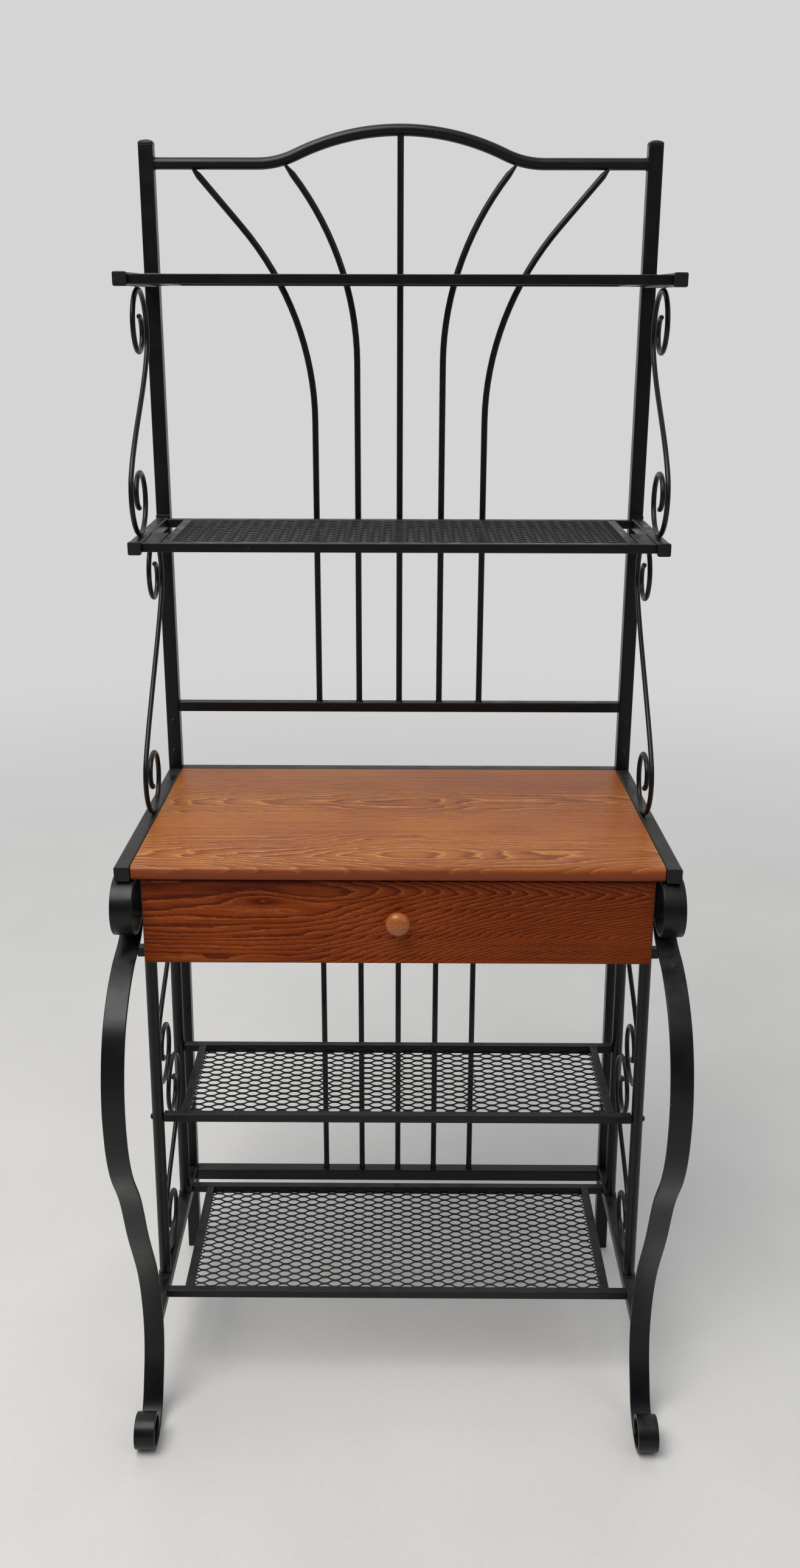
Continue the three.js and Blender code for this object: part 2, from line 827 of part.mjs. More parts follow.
const upperPanel = {
  halfLength: upperRailInner - fit,
  front: shelfRailLength - shelfFrontInset,
  rear: fit + mountPlateThickness + fit,
};
const barDrop = (shelfRailSize - barSize) / 2;
const topPanel = { ...upperPanel, top: topShelfHeight - barDrop, netTop: topShelfHeight - barDrop };
const midPanel = { ...upperPanel, top: midShelfHeight - barDrop, netTop: midShelfHeight - barDrop };
const lowerPanel = {
  halfLength: sideAt(lowerShelfHeight) - postDiameter / 2 - fit,
  front: frontPostReach + barSize / 2,
  rear: rearPostReach - barSize / 2,
  top: lowerShelfHeight,
  netTop: lowerShelfHeight - barSize + netThickness,
};
const bottomPanel = {
  halfLength: sideAt(bottomShelfHeight) - tubeSize / 2 - fit,
  front: bottomShelfFront,
  rear: bottomShelfRear,
  top: bottomShelfHeight,
  netTop: bottomShelfHeight - barSize + netThickness,
};

place(rack, "arch_rail", archRail(), steel);
place(rack, "back_cross_rail", backCrossRail(), steel);
place(rack, "back_rod_middle", backRod(0), steel);
place(rack, "worktop_rear_rail", worktopRearRail(), steel);
place(rack, "lower_back_grille", lowerBackGrille(), steel);
place(rack, "top_shelf_frame", join(shelfFrame(topPanel), ...gussets(topPanel)), steel);
place(rack, "mid_shelf_frame", join(shelfFrame(midPanel), ...gussets(midPanel)), steel);
place(rack, "lower_shelf_frame", shelfFrame(lowerPanel), steel);
place(rack, "bottom_shelf_frame", shelfFrame(bottomPanel), steel);
place(rack, "top_shelf_net", expandedNet(topPanel), net);
place(rack, "mid_shelf_net", expandedNet(midPanel), net);
place(rack, "lower_shelf_net", expandedNet(lowerPanel), net);
place(rack, "bottom_shelf_net", expandedNet(bottomPanel), net);
place(rack, "front_cross_rail", frontCrossRail(), steel);
place(rack, "worktop_board", worktopBoard(), oak);

const drawer = new THREE.Group();
rack.add(drawer);
place(drawer, "drawer_front", drawerFront(), redOak);
place(drawer, "drawer_back", drawerRear(), plywood);
place(drawer, "drawer_bottom", drawerBottom(), plywood);
place(drawer, "drawer_knob", drawerKnob(), oak);

// Each side is built once, for +X, and mirrored for the other side
const lowerScrollJoint = (bottomShelfHeight + lowerScrollTop) / 2;
const postReach = [
  rearPostReach + postDiameter / 2 + fit,
  frontPostReach - postDiameter / 2 - fit,
];
for (const side of ["left", "right"]) {
  const half = new THREE.Group();
  half.scale.x = side === "left" ? -1 : 1;
  rack.add(half);
  place(half, `upper_upright_${side}`, upperUpright(), steel);
  place(half, `upright_cap_${side}`, uprightCap(), cap);
  place(half, `lower_upright_${side}`, lowerUpright(), steel);
  place(half, `back_rod_inner_${side}`, backRod(1), steel);
  place(half, `back_rod_outer_${side}`, backRod(2), steel);
  for (const [shelf, height] of [["top", topShelfHeight], ["mid", midShelfHeight]]) {
    place(half, `${shelf}_shelf_rail_${side}`, shelfSideRail(height), steel);
    place(half, `${shelf}_shelf_cap_${side}`, shelfEndCap(height), cap);
  }
  const scrolls = {
    top_scroll: { reach: topScrollReach, bottom: midShelfHeight, top: topShelfHeight - shelfRailSize },
    mid_scroll: { reach: midScrollReach, bottom: worktopHeight, top: midShelfHeight - shelfRailSize },
  };
  for (const [name, limits] of Object.entries(scrolls)) {
    const seated = { ...limits, bottom: limits.bottom + fit, top: limits.top - fit };
    place(half, `${name}_${side}`, scroll(seated), steel);
  }
  const sideScrolls = {
    side_scroll_upper: { reach: postReach, bottom: lowerScrollJoint + fit, top: lowerScrollTop },
    side_scroll_lower: { reach: postReach, bottom: bottomShelfHeight + fit, top: lowerScrollJoint },
  };
  for (const [name, limits] of Object.entries(sideScrolls)) {
    place(half, `${name}_${side}`, lean(scroll(limits)), steel);
  }
  place(half, `worktop_side_rail_${side}`, worktopSideRail(), steel);
  place(half, `front_post_${side}`, post(frontPostReach), steel);
  place(half, `rear_post_${side}`, post(rearPostReach), steel);
  place(half, `bottom_side_rail_${side}`, bottomSideRail(), steel);
  place(half, `front_leg_${side}`, leg(), steel);
  place(half, `drawer_runner_${side}`, drawerRunner(), zinc);
  const drawerHalf = new THREE.Group();
  drawerHalf.scale.x = half.scale.x;
  drawer.add(drawerHalf);
  place(drawerHalf, `drawer_side_${side}`, drawerSide(), plywood);
}

// The origin goes under the middle of the rack's box, on the floor
const bounds = new THREE.Box3().setFromObject(rack, true);
rack.position.y = -(bounds.min.y + bounds.max.y) / 2;

export default rack;
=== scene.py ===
# %% [markdown]
# # A bakers rack
# A steel kitchen rack: two upright tubes against the wall carry an arched back panel and two
# net shelves. Below them are an oak worktop, one drawer and two more net shelves, held by
# bowed front legs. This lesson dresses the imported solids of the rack: every tube, rod and bar
# gets its rounded edges, every net its fine strands, and every board its grain.
#
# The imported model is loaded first. Its nodes stay where they are, so each new piece can take
# its place from the box of the node that it stands for.

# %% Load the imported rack
import random
from math import asin, atan2, cos, degrees, hypot, pi, radians, sin, tan

import bpy
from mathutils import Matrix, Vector


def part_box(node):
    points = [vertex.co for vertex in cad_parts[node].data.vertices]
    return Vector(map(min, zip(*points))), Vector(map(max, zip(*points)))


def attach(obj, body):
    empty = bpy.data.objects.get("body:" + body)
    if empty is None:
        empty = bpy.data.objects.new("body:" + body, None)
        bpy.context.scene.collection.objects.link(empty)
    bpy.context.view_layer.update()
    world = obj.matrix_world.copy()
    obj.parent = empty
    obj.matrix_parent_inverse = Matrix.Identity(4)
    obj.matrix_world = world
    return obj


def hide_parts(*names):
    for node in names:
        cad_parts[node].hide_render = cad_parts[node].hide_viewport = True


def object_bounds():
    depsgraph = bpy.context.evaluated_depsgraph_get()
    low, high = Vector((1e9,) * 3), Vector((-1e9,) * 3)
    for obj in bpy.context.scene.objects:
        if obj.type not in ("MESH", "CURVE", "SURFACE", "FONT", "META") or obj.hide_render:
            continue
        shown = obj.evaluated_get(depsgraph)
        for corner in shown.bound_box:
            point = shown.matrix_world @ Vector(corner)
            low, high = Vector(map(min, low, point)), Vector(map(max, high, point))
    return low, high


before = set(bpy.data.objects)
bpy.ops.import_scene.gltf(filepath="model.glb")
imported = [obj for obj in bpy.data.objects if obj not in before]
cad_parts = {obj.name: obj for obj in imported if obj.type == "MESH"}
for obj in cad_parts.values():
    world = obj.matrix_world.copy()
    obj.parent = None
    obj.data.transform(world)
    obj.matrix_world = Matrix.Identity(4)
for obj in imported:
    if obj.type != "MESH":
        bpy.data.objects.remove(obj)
cad_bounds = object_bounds()
scene = bpy.context.scene

# %% [markdown]
# ## The camera
# The photograph was taken standing, from just below the height of the top shelf, so all that
# lies under it is seen from above. A camera can be placed by eye until the picture fits, but a
# rack has many straight rails, and the place can be worked out from where they run in the
# photograph. That place is used here. The lens is given for a sensor 36 mm high, and the small
# shift says that the photograph's centre line does not pass through the middle of the picture.

# %% Camera
SENSOR = 36.0
PHOTO_WIDTH, PHOTO_HEIGHT = 1315, 2576
FOCAL_PIXELS = 2208.33
CENTRE_PIXELS = (650.86, 1184.0)
CAMERA_PLACE = (0.0041, -1.7102, 1.5619)
CAMERA_TURNS = (72.712, -0.121, 0.293)  # degrees about X, Y and Z

camera_data = bpy.data.cameras.new("photo_camera")
camera_data.sensor_fit = "VERTICAL"
camera_data.sensor_height = SENSOR
camera_data.lens = SENSOR * FOCAL_PIXELS / PHOTO_HEIGHT
camera_data.shift_x = (PHOTO_WIDTH / 2 - CENTRE_PIXELS[0]) / PHOTO_HEIGHT
camera_data.shift_y = (CENTRE_PIXELS[1] - PHOTO_HEIGHT / 2) / PHOTO_HEIGHT
camera = bpy.data.objects.new("photo_camera", camera_data)
camera.location = CAMERA_PLACE
camera.rotation_euler = [radians(turn) for turn in CAMERA_TURNS]
scene.collection.objects.link(camera)
scene.camera = camera
print("lens", round(camera_data.lens, 2), "mm")

# %% [markdown]
# ## Materials from nodes
# A material in Blender is a graph of nodes. It can be drawn by hand in the shader editor, or
# built from Python, where each node is one call. Python is used here, because a whole finish
# then reads as a few lines. One helper adds a node and fills its inputs, either with a number
# or with a link from another node. The others are the nodes that every finish here needs:
# arithmetic, a range carried onto another range, and a mix of two colours.

# %% Helpers for shader nodes


def add(tree, kind, settings=None, **inputs):
    """Adds a shader node. An input is a socket to link or a value to set."""
    made = tree.nodes.new(kind)
    for key, value in (settings or {}).items():
        setattr(made, key, value)
    for key, value in inputs.items():
        name = int(key[1:]) if key[1:].isdigit() else key.replace("_", " ")
        if isinstance(value, bpy.types.NodeSocket):
            tree.links.new(value, made.inputs[name])
        else:
            made.inputs[name].default_value = value
    return made


def calc(tree, operation, *values):
    """One Math node, as a socket."""
    inputs = {f"i{k}": value for k, value in enumerate(values)}
    return add(tree, "ShaderNodeMath", {"operation": operation}, **inputs).outputs[0]


def plus(tree, first, second):
    return calc(tree, "ADD", first, second)


def minus(tree, first, second):
    return calc(tree, "SUBTRACT", first, second)


def times(tree, first, second):
    return calc(tree, "MULTIPLY", first, second)


def remap(tree, value, low, high, to_low=0.0, to_high=1.0):
    """Carries a range of one value smoothly onto another range, and holds it there."""
    made = add(tree, "ShaderNodeMapRange", {"interpolation_type": "SMOOTHSTEP"}, Value=value,
               From_Min=low, From_Max=high, To_Min=to_low, To_Max=to_high)
    return made.outputs[0]


def blend(tree, share, first, second):
    """A mix of two colours."""
    made = add(tree, "ShaderNodeMix", {"data_type": "RGBA"}, Factor=share, i6=first, i7=second)
    return made.outputs[2]


print("node helpers ready")

# %% [markdown]
# ## Colour, place and noise
# A finish needs a starting colour, a place on the piece, and something uneven. Colours are
# written as they are read from a picture and turned into the renderer's own scale. The place is
# the object's own coordinates, which are metres here, so that a grain keeps its real size and
# stays on its piece when the drawer moves. An image texture could give the unevenness, but noise
# that is worked out needs no picture and never repeats. The stretch says how many times it
# changes in a metre along each axis.

# %% Colour, place and noise


def rgb(red, green, blue):
    """A colour as it is read from a picture, 0 to 255, in the renderer's own scale."""
    def linear(value):
        value /= 255
        return value / 12.92 if value <= 0.04045 else ((value + 0.055) / 1.055) ** 2.4
    return (linear(red), linear(green), linear(blue), 1.0)


def new_material(name):
    """A material with an empty graph, and that graph."""
    made = bpy.data.materials.new(name)
    made.use_nodes = True
    made.node_tree.nodes.clear()
    return made, made.node_tree


def own_place(tree):
    """The place on the piece itself, in metres."""
    return add(tree, "ShaderNodeTexCoord").outputs["Object"]


def part_of(tree, place, axis):
    """The X, Y or Z of a place."""
    return add(tree, "ShaderNodeSeparateXYZ", Vector=place).outputs[axis]


def grain_noise(tree, place, scale, detail=2.0, stretch=(1, 1, 1), shift=(0, 0, 0)):
    """Noise over the object's own coordinates, drawn out along its axes."""
    moved = add(tree, "ShaderNodeMapping", Vector=place, Scale=stretch, Location=shift)
    return add(tree, "ShaderNodeTexNoise", Vector=moved.outputs[0], Scale=scale,
               Detail=detail).outputs[0]


print("mid grey in the renderer's scale:", round(rgb(128, 128, 128)[0], 3))

# %% [markdown]
# ## The room
# The rack stands before a pale wall, in a room that is darker on the camera's side. A wall of
# mesh would need light of its own, so the world does the work. Rays from the camera see only
# the wall's colour, and so does whatever the steel mirrors towards the back. The light comes
# mostly from overhead and from the wall, and little comes from the front: black steel looks
# black only when it has something dark to mirror.

# %% World
BACKGROUND = rgb(214, 213, 213)
ROOM_COLOUR = (0.86, 0.90, 0.96, 1)
FRONT_LIGHT, WALL_LIGHT, CEILING_LIGHT = 0.10, 0.34, 0.50


def background_share(tree, at_back):
    """1 where a ray has to see the plain background: a ray from the camera, or one that was
    mirrored or let through and runs towards the back."""
    ray = add(tree, "ShaderNodeLightPath").outputs
    onward = calc(tree, "MAXIMUM", ray["Is Glossy Ray"], ray["Is Transmission Ray"])
    return calc(tree, "MAXIMUM", ray["Is Camera Ray"], times(tree, onward, at_back))


world = bpy.data.worlds.new("studio")
scene.world = world
world.use_nodes = True
tree = world.node_tree
tree.nodes.clear()
heading = add(tree, "ShaderNodeTexCoord").outputs["Generated"]
to_back = part_of(tree, heading, "Y")
from_wall = remap(tree, to_back, -0.1, 0.9, 0.0, WALL_LIGHT)
from_ceiling = remap(tree, part_of(tree, heading, "Z"), 0.25, 0.95, 0.0, CEILING_LIGHT)
light = plus(tree, plus(tree, from_wall, from_ceiling), FRONT_LIGHT)
room = add(tree, "ShaderNodeBackground", Color=ROOM_COLOUR, Strength=light)
wall = add(tree, "ShaderNodeBackground", Color=BACKGROUND, Strength=1.0)
shows_wall = background_share(tree, remap(tree, to_back, 0.1, 0.6))
seen = add(tree, "ShaderNodeMixShader", i0=shows_wall, i1=room.outputs[0], i2=wall.outputs[0])
add(tree, "ShaderNodeOutputWorld", Surface=seen.outputs[0])
print("world:", len(tree.nodes), "nodes")

# %% [markdown]
# ## Lamps
# The daylight comes mostly from the front left and from high up. A sun would draw hard, sharp
# shadows, so wide area lamps are used. The first gives the direction, a weak one fills the
# right side, and the third stands behind the rack and draws the edges of the black tubes.

# %% Lamps


def soft_lamp(name, place, target, size, power, colour):
    """A wide lamp that faces its target."""
    data = bpy.data.lights.new(name, "AREA")
    data.shape = "RECTANGLE"
    data.size, data.size_y = size
    data.energy = power
    data.color = colour
    lamp = bpy.data.objects.new(name, data)
    lamp.location = place
    lamp.rotation_euler = (Vector(target) - Vector(place)).to_track_quat("-Z", "Y").to_euler()
    scene.collection.objects.link(lamp)
    print(name, "lamp:", power, "W")


soft_lamp("key", (-1.2, -1.4, 4.2), (0, 0, 0.8), (2.6, 2.6), 150, (1.0, 0.98, 0.96))
soft_lamp("fill", (3.0, -2.2, 3.0), (0, 0, 0.9), (2.2, 2.2), 22, (0.97, 0.98, 1.0))
soft_lamp("edge", (-0.6, 2.2, 3.6), (0, 0, 1.0), (2.2, 1.4), 14, (1.0, 1.0, 1.0))

# %% [markdown]
# ## The floor
# The floor is a pale stone that takes the rack's shadow. Some distance away it changes into the
# wall's colour, so that no line shows where it ends. A bent backdrop would hide that line too,
# but it would have to stand behind the rack from every side it is looked at. Only the camera
# and the mirrored rays towards the back see that far floor as bright: it gives the rack no
# light of its own.

# %% Floor
FLOOR_HALF = 30.0
FLOOR_DROP = 0.0004  # so that the feet are not in the same plane
FADE = (1.2, 4.2)  # metres from the rack
BACK_HALF = (0.2, 1.2)  # metres behind the rack's middle

corners = [(x * FLOOR_HALF, y * FLOOR_HALF, -FLOOR_DROP) for x, y in ((-1, -1), (1, -1), (1, 1), (-1, 1))]
floor_mesh = bpy.data.meshes.new("floor")
floor_mesh.from_pydata(corners, [], [(0, 1, 2, 3)])
floor = bpy.data.objects.new("floor", floor_mesh)
scene.collection.objects.link(floor)

pale_floor, tree = new_material("pale_floor")
place = own_place(tree)
speckle = times(tree, grain_noise(tree, place, 140, 3), 0.25)
patches = times(tree, grain_noise(tree, place, 3, 3), 0.5)
tone = remap(tree, plus(tree, speckle, patches), 0.2, 0.6)
stone = add(tree, "ShaderNodeBsdfPrincipled", Roughness=0.65,
            Base_Color=blend(tree, tone, rgb(205, 203, 199), rgb(214, 212, 208)))
glow = add(tree, "ShaderNodeEmission", Color=BACKGROUND, Strength=1.0)
away = add(tree, "ShaderNodeVectorMath", {"operation": "LENGTH"}, i0=place).outputs["Value"]
shown = background_share(tree, remap(tree, part_of(tree, place, "Y"), *BACK_HALF))
far_floor = times(tree, remap(tree, away, *FADE), shown)
seen = add(tree, "ShaderNodeMixShader", i0=far_floor, i1=stone.outputs[0], i2=glow.outputs[0])
add(tree, "ShaderNodeOutputMaterial", Surface=seen.outputs[0])
floor_mesh.materials.append(pale_floor)
scene.view_settings.view_transform = "Standard"
print("floor:", 2 * FLOOR_HALF, "m wide")

# %% [markdown]
# ## Black powder coat
# All the steel has one thick, satin, black powder coat. Seen close, such a coat is slightly
# uneven, like the skin of an orange, and its gloss changes a little from place to place. Dust
# lies on what faces up, and there is a tiny pale speck here and there. A plain black with one
# roughness would look like plastic. So a bump from fine noise gives the skin, the normal's
# upward part gives the dust, and the rare peaks of a coarser noise give the specks. The
# mirroring is kept weak, as on a dull coat.

# %% Powder coat
COAT_MIRRORING = 0.27
DUST = rgb(128, 120, 110)
BARE_SPECK = rgb(96, 92, 86)


def powder_coat(name, colour, roughness, dust):
    """A satin coat. dust says how much of it lies on what faces up."""
    made, tree = new_material(name)
    place = own_place(tree)
    skin_of_orange = grain_noise(tree, place, 900, 2)
    cloud = grain_noise(tree, place, 38, 4)
    specks = remap(tree, grain_noise(tree, place, 190, 3), 0.72, 0.76)
    up = part_of(tree, add(tree, "ShaderNodeNewGeometry").outputs["Normal"], "Z")
    lies = times(tree, remap(tree, up, 0.75, 0.98), remap(tree, cloud, 0.3, 0.75))
    paler = [part * 1.3 for part in colour[:3]] + [1]
    base = blend(tree, remap(tree, cloud, 0.35, 0.7), colour, paler)
    dusty = blend(tree, times(tree, lies, dust), base, DUST)
    worn = blend(tree, times(tree, specks, 0.35), dusty, BARE_SPECK)
    gloss = plus(tree, remap(tree, cloud, 0.3, 0.7, -0.03, 0.04), roughness)
    rough = plus(tree, gloss, times(tree, lies, 0.2))
    bump = add(tree, "ShaderNodeBump", Height=skin_of_orange, Strength=0.25, Distance=0.0002)
    coat = add(tree, "ShaderNodeBsdfPrincipled", Base_Color=worn, Roughness=rough,
               Specular_IOR_Level=COAT_MIRRORING, Normal=bump.outputs[0])
    add(tree, "ShaderNodeOutputMaterial", Surface=coat.outputs[0])
    print(name, "has", len(tree.nodes), "nodes")
    return made


black_steel = powder_coat("black_powder_coat", rgb(10, 11, 12), 0.33, 0.09)
black_net = powder_coat("black_net_coat", rgb(11, 11, 12), 0.42, 0.08)
black_cap = powder_coat("black_cap_plastic", rgb(15, 17, 17), 0.46, 0.1)
black_bolt = powder_coat("black_bolt", rgb(20, 20, 22), 0.28, 0.1)

# %% [markdown]
# ## The rings in oak
# A tree is a stack of cones, one for each year, and a board is a flat cut through them. So the
# lines on a board need not be drawn: they are where the cut meets the cones. The distance from
# the tree's middle line, divided by the width of a year, gives the line's number. A slope along
# the board stands for the cone's taper, and it is what turns parallel lines into pointed
# arches. Four noises, from long and slow to short and fine, bend the lines as growth does.

# %% Growth rings


def growth_rings(tree, place, across, depth, slope, spacing, warp, closer, dense):
    """The distance from the tree's middle line, bent and bare. across and depth give it
    sideways and into the board, slope is the taper's part, closer draws the outer lines
    together, and dense draws the lines together towards one end of the board."""
    def wobble(size, detail, stretch):
        noise = grain_noise(tree, place, 1.0, detail, stretch)
        return times(tree, minus(tree, noise, 0.5), size)

    side = calc(tree, "POWER", across(tree, place), 2)
    deep = calc(tree, "POWER", depth(tree, place), 2)
    bare = calc(tree, "SQRT", plus(tree, side, deep))
    spread = times(tree, bare, dense(tree, place)) if dense else bare
    bent = plus(tree, spread, slope(tree, place))
    bent = plus(tree, bent, wobble(2 * warp, 3, (3.2, 16, 16)))
    bent = plus(tree, bent, wobble(2.6 * spacing, 2, (2.4, 42, 42)))
    bent = plus(tree, bent, times(tree, calc(tree, "POWER", bent, 2), closer))
    bent = plus(tree, bent, wobble(0.55 * spacing, 2, (24, 90, 90)))
    bent = plus(tree, bent, wobble(0.42 * spacing, 2, (110, 900, 900)))
    return bent, bare


print("growth rings ready")

# %% [markdown]
# ## The finish of oak
# In each ring the wood of late summer is dark and dense, and a light line of spring wood
# follows it at once. Fine pores lie along the grain as short dark dashes. The stain soaks in
# unevenly, in slow patches and thin streaks. All of these are shares of one dark colour laid
# over two lighter ones, as the stain itself is. The pores are also cut a little into the
# surface, and the dark wood stands a little proud, which the varnish follows.

# %% Oak
LATE_WOOD = (0.30, 0.90)  # shares of a ring, in which the dark line grows
RING_END = (0.91, 0.97)  # where the dark line stops short
SPRING_WOOD = (0.02, 0.22)  # where the light line fades
CALM_FROM, CALM_TO = 0.025, 0.09  # metres from the middle line, over which lines grow fainter


def oak(name, across, depth, spacing, slope, light, dark, *, warp=0.012, gloss=0.36, line=0.75,
        closer=0.0, dense=None, crest=0.5, calm=0.6, shine=0.4, shade=None):
    """Oak with its grain along X. light holds two stains and the spring wood. line and crest
    say how strong the dark and the light lines are, and calm what is left of both further
    out. shade says where a second, darker colour lies, and what colour it is; on the worktop
    and the drawer front it is partly painted shade."""
    made, tree = new_material(name)
    place = own_place(tree)
    bent, bare = growth_rings(tree, place, across, depth, slope, spacing, warp, closer, dense)
    phase = calc(tree, "FRACT", calc(tree, "DIVIDE", bent, spacing))
    grown = calc(tree, "POWER", remap(tree, phase, *LATE_WOOD), 1.6)
    late = times(tree, grown, minus(tree, 1.0, remap(tree, phase, *RING_END)))
    spring = minus(tree, 1.0, remap(tree, phase, *SPRING_WOOD))
    fade = remap(tree, bare, CALM_FROM, CALM_TO, 1.0, calm)
    pores = remap(tree, grain_noise(tree, place, 1.0, 1, (60, 1300, 1300)), 0.54, 0.70)
    streaks = grain_noise(tree, place, 1.0, 3, (5, 260, 260))
    patches = grain_noise(tree, place, 1.0, 3, (5, 9, 9))

    strong = times(tree, late, remap(tree, patches, 0.3, 0.62, 0.6 * line, line))
    strong = times(tree, strong, fade)
    dashes = times(tree, pores, plus(tree, times(tree, late, 0.45), 0.2))
    thin = times(tree, remap(tree, streaks, 0.42, 0.72), 0.32)
    share = plus(tree, plus(tree, strong, dashes), thin)
    stained = blend(tree, remap(tree, patches, 0.35, 0.7), light[0], light[1])
    pale = blend(tree, times(tree, times(tree, spring, fade), crest), stained, light[2])
    colour = blend(tree, add(tree, "ShaderNodeClamp", Value=share).outputs[0], pale, dark)
    # The second colour: partly painted shade on the worktop and the drawer front.
    if shade:
        amount, tint = shade
        colour = blend(tree, amount(tree, place), colour, tint)

    height = minus(tree, times(tree, late, 0.25), times(tree, pores, 0.6))
    bump = add(tree, "ShaderNodeBump", Height=height, Strength=0.3, Distance=0.0002)
    rough = plus(tree, gloss, times(tree, share, 0.12))
    varnish = add(tree, "ShaderNodeBsdfPrincipled", Base_Color=colour, Roughness=rough,
                  Specular_IOR_Level=shine, Normal=bump.outputs[0])
    add(tree, "ShaderNodeOutputMaterial", Surface=varnish.outputs[0])
    print(name, "has", len(tree.nodes), "nodes")
    return made


print("the dark line may fill", round(RING_END[0] - LATE_WOOD[0], 2), "of a ring")

# %% [markdown]
# ## Oak for the worktop
# The worktop shows its figure twice, once in the front half and once at the back, as if it
# were glued from two boards that were cut alike. The distance is therefore folded, which gives
# a row of middle lines instead of one. Its arches are long and point both ways. The rounded
# front edge gets a redder stain and painted shade that grows towards its underside, and the
# board gets painted shade towards its right end and towards its back, under the shelf above.

# %% Oak for the worktop
board_low, board_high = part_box("worktop_board")
FRONT_ARCHES = board_low.y + 0.045
HALF_ROW = 0.097  # metres, half the way from one row of arches to the next
TOP_RING = 0.0062  # metres from one line to the next
TOP_TAPER, TOP_MIDDLE, ARCH_POINT = 0.085, 0.04, 0.002


def beside(axis, middle):
    """Distance from one middle line."""
    return lambda tree, place: minus(tree, part_of(tree, place, axis), middle)


def folded(axis, middle, half):
    """Distance to the nearest of many middle lines, each two halves apart."""
    def value(tree, place):
        moved = minus(tree, part_of(tree, place, axis), middle)
        return calc(tree, "PINGPONG", calc(tree, "ABSOLUTE", moved), half)
    return value


def top_slope(tree, place):
    """Grows both ways from the middle of the board."""
    past = minus(tree, part_of(tree, place, "X"), TOP_MIDDLE)
    away = calc(tree, "SQRT", plus(tree, calc(tree, "POWER", past, 2), ARCH_POINT))
    long_wave = grain_noise(tree, place, 1.0, 2, (3.4, 5, 5), (0.7, 0.2, 0))
    return plus(tree, times(tree, away, TOP_TAPER), times(tree, long_wave, 0.045))


def top_painted_shade(tree, place):
    """How much painted shade lies on each part of the board: on the rounded front edge, with a redder
    stain, most towards its underside; towards the right end; and towards the back, under the shelf above.
    """
    x, y, z = [part_of(tree, place, axis) for axis in "XYZ"]
    # Painted shade, with a redder stain, on the rounded front edge, growing towards its underside.
    low_down = remap(tree, z, board_high.z, board_high.z - 0.012, 0.4, 1.0)
    in_front = remap(tree, y, board_low.y + 0.007, board_low.y + 0.004)
    # Painted shade towards the right end, and towards the back under the shelf above.
    right_end = remap(tree, x, -0.05, 0.34, 0.0, 0.24)
    back = remap(tree, y, -0.06, 0.2, 0.0, 0.16)
    return calc(tree, "MAXIMUM", times(tree, low_down, in_front), plus(tree, right_end, back))


# The worktop's second colour is painted shade, partly a redder stain on the front edge.
oak_top = oak("oak_worktop", folded("Y", FRONT_ARCHES, HALF_ROW), beside("Z", board_high.z - 0.022),
              TOP_RING, top_slope, (rgb(160, 94, 31), rgb(145, 77, 22), rgb(204, 142, 72)),
              rgb(96, 42, 8), line=0.7, crest=0.68, calm=0.35, shine=0.28,
              shade=(top_painted_shade, rgb(118, 50, 14)))

# %% [markdown]
# ## Oak for the drawer
# The drawer front is one broad board of a redder, darker oak with the strongest figure on the
# rack: level lines at its left, a small knot near its upper edge, and arches that point to the
# right, closer together at the right end. The knot is a bump in the distance: rings simply
# close round it. The board is darker at its right end, and painted shadow darkens it just under the
# worktop.

# %% Oak for the drawer front
face_low, face_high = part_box("drawer_front")
FACE_TAPER, ARCHES_FROM, ARCH_TURN = 0.145, -0.10, 0.0016
KNOT, KNOT_SIZE, KNOT_LIFT = (-0.176, 0.829), (0.055, 0.011), 0.017
FACE_RING = 0.0095


def drawer_slope(tree, place):
    """Level at the left, then growing to the right, with the knot on top of it."""
    x, z = [part_of(tree, place, axis) for axis in "XZ"]
    past = minus(tree, x, ARCHES_FROM)
    soft = calc(tree, "SQRT", plus(tree, calc(tree, "POWER", past, 2), ARCH_TURN))
    taper = times(tree, plus(tree, past, soft), FACE_TAPER)
    from_knot = [calc(tree, "POWER", calc(tree, "DIVIDE", minus(tree, value, middle), size), 2)
                 for value, middle, size in zip((x, z), KNOT, KNOT_SIZE)]
    knot = calc(tree, "POWER", 0.37, plus(tree, *from_knot))
    return plus(tree, taper, times(tree, knot, KNOT_LIFT))


def drawer_density(tree, place):
    """Draws the lines together towards the right end."""
    return remap(tree, part_of(tree, place, "X"), -0.12, 0.26, 1.0, 1.5)


def face_darkening_and_shadow(tree, place):
    """How much darker colour lies on each part of the drawer front: more towards the right end, and painted
    shadow along the upper edge, under the worktop's overhang.
    """
    right_end = remap(tree, part_of(tree, place, "X"), -0.08, 0.2, 0.0, 0.24)
    # Painted shadow along the upper edge, under the worktop's overhang.
    overhang_shadow = remap(tree, part_of(tree, place, "Z"), face_high.z - 0.04, face_high.z, 0.0, 0.3)
    return calc(tree, "MAXIMUM", right_end, overhang_shadow)


# The drawer front's second colour darkens its right end and is painted shadow under the worktop.
oak_face = oak("oak_drawer_front", beside("Z", face_high.z - 0.017), beside("Y", face_low.y + 0.007),
               FACE_RING, drawer_slope, (rgb(142, 63, 18), rgb(127, 49, 10), rgb(168, 98, 42)),
               rgb(78, 24, 3), line=0.88, closer=1.9, dense=drawer_density, crest=0.6, calm=0.85,
               shine=0.1, shade=(face_darkening_and_shadow, rgb(72, 20, 2)))

# %% [markdown]
# ## Oak for the knob
# The knob is turned from a lighter piece and polished on the lathe, so it has finer rings and
# more gloss. For something so small a plain slope is enough, and no second stain is needed.

# %% Oak for the knob
KNOB_RING, KNOB_RINGS_FROM = 0.004, 0.83


def knob_slope(tree, place):
    return times(tree, part_of(tree, place, "X"), 0.4)


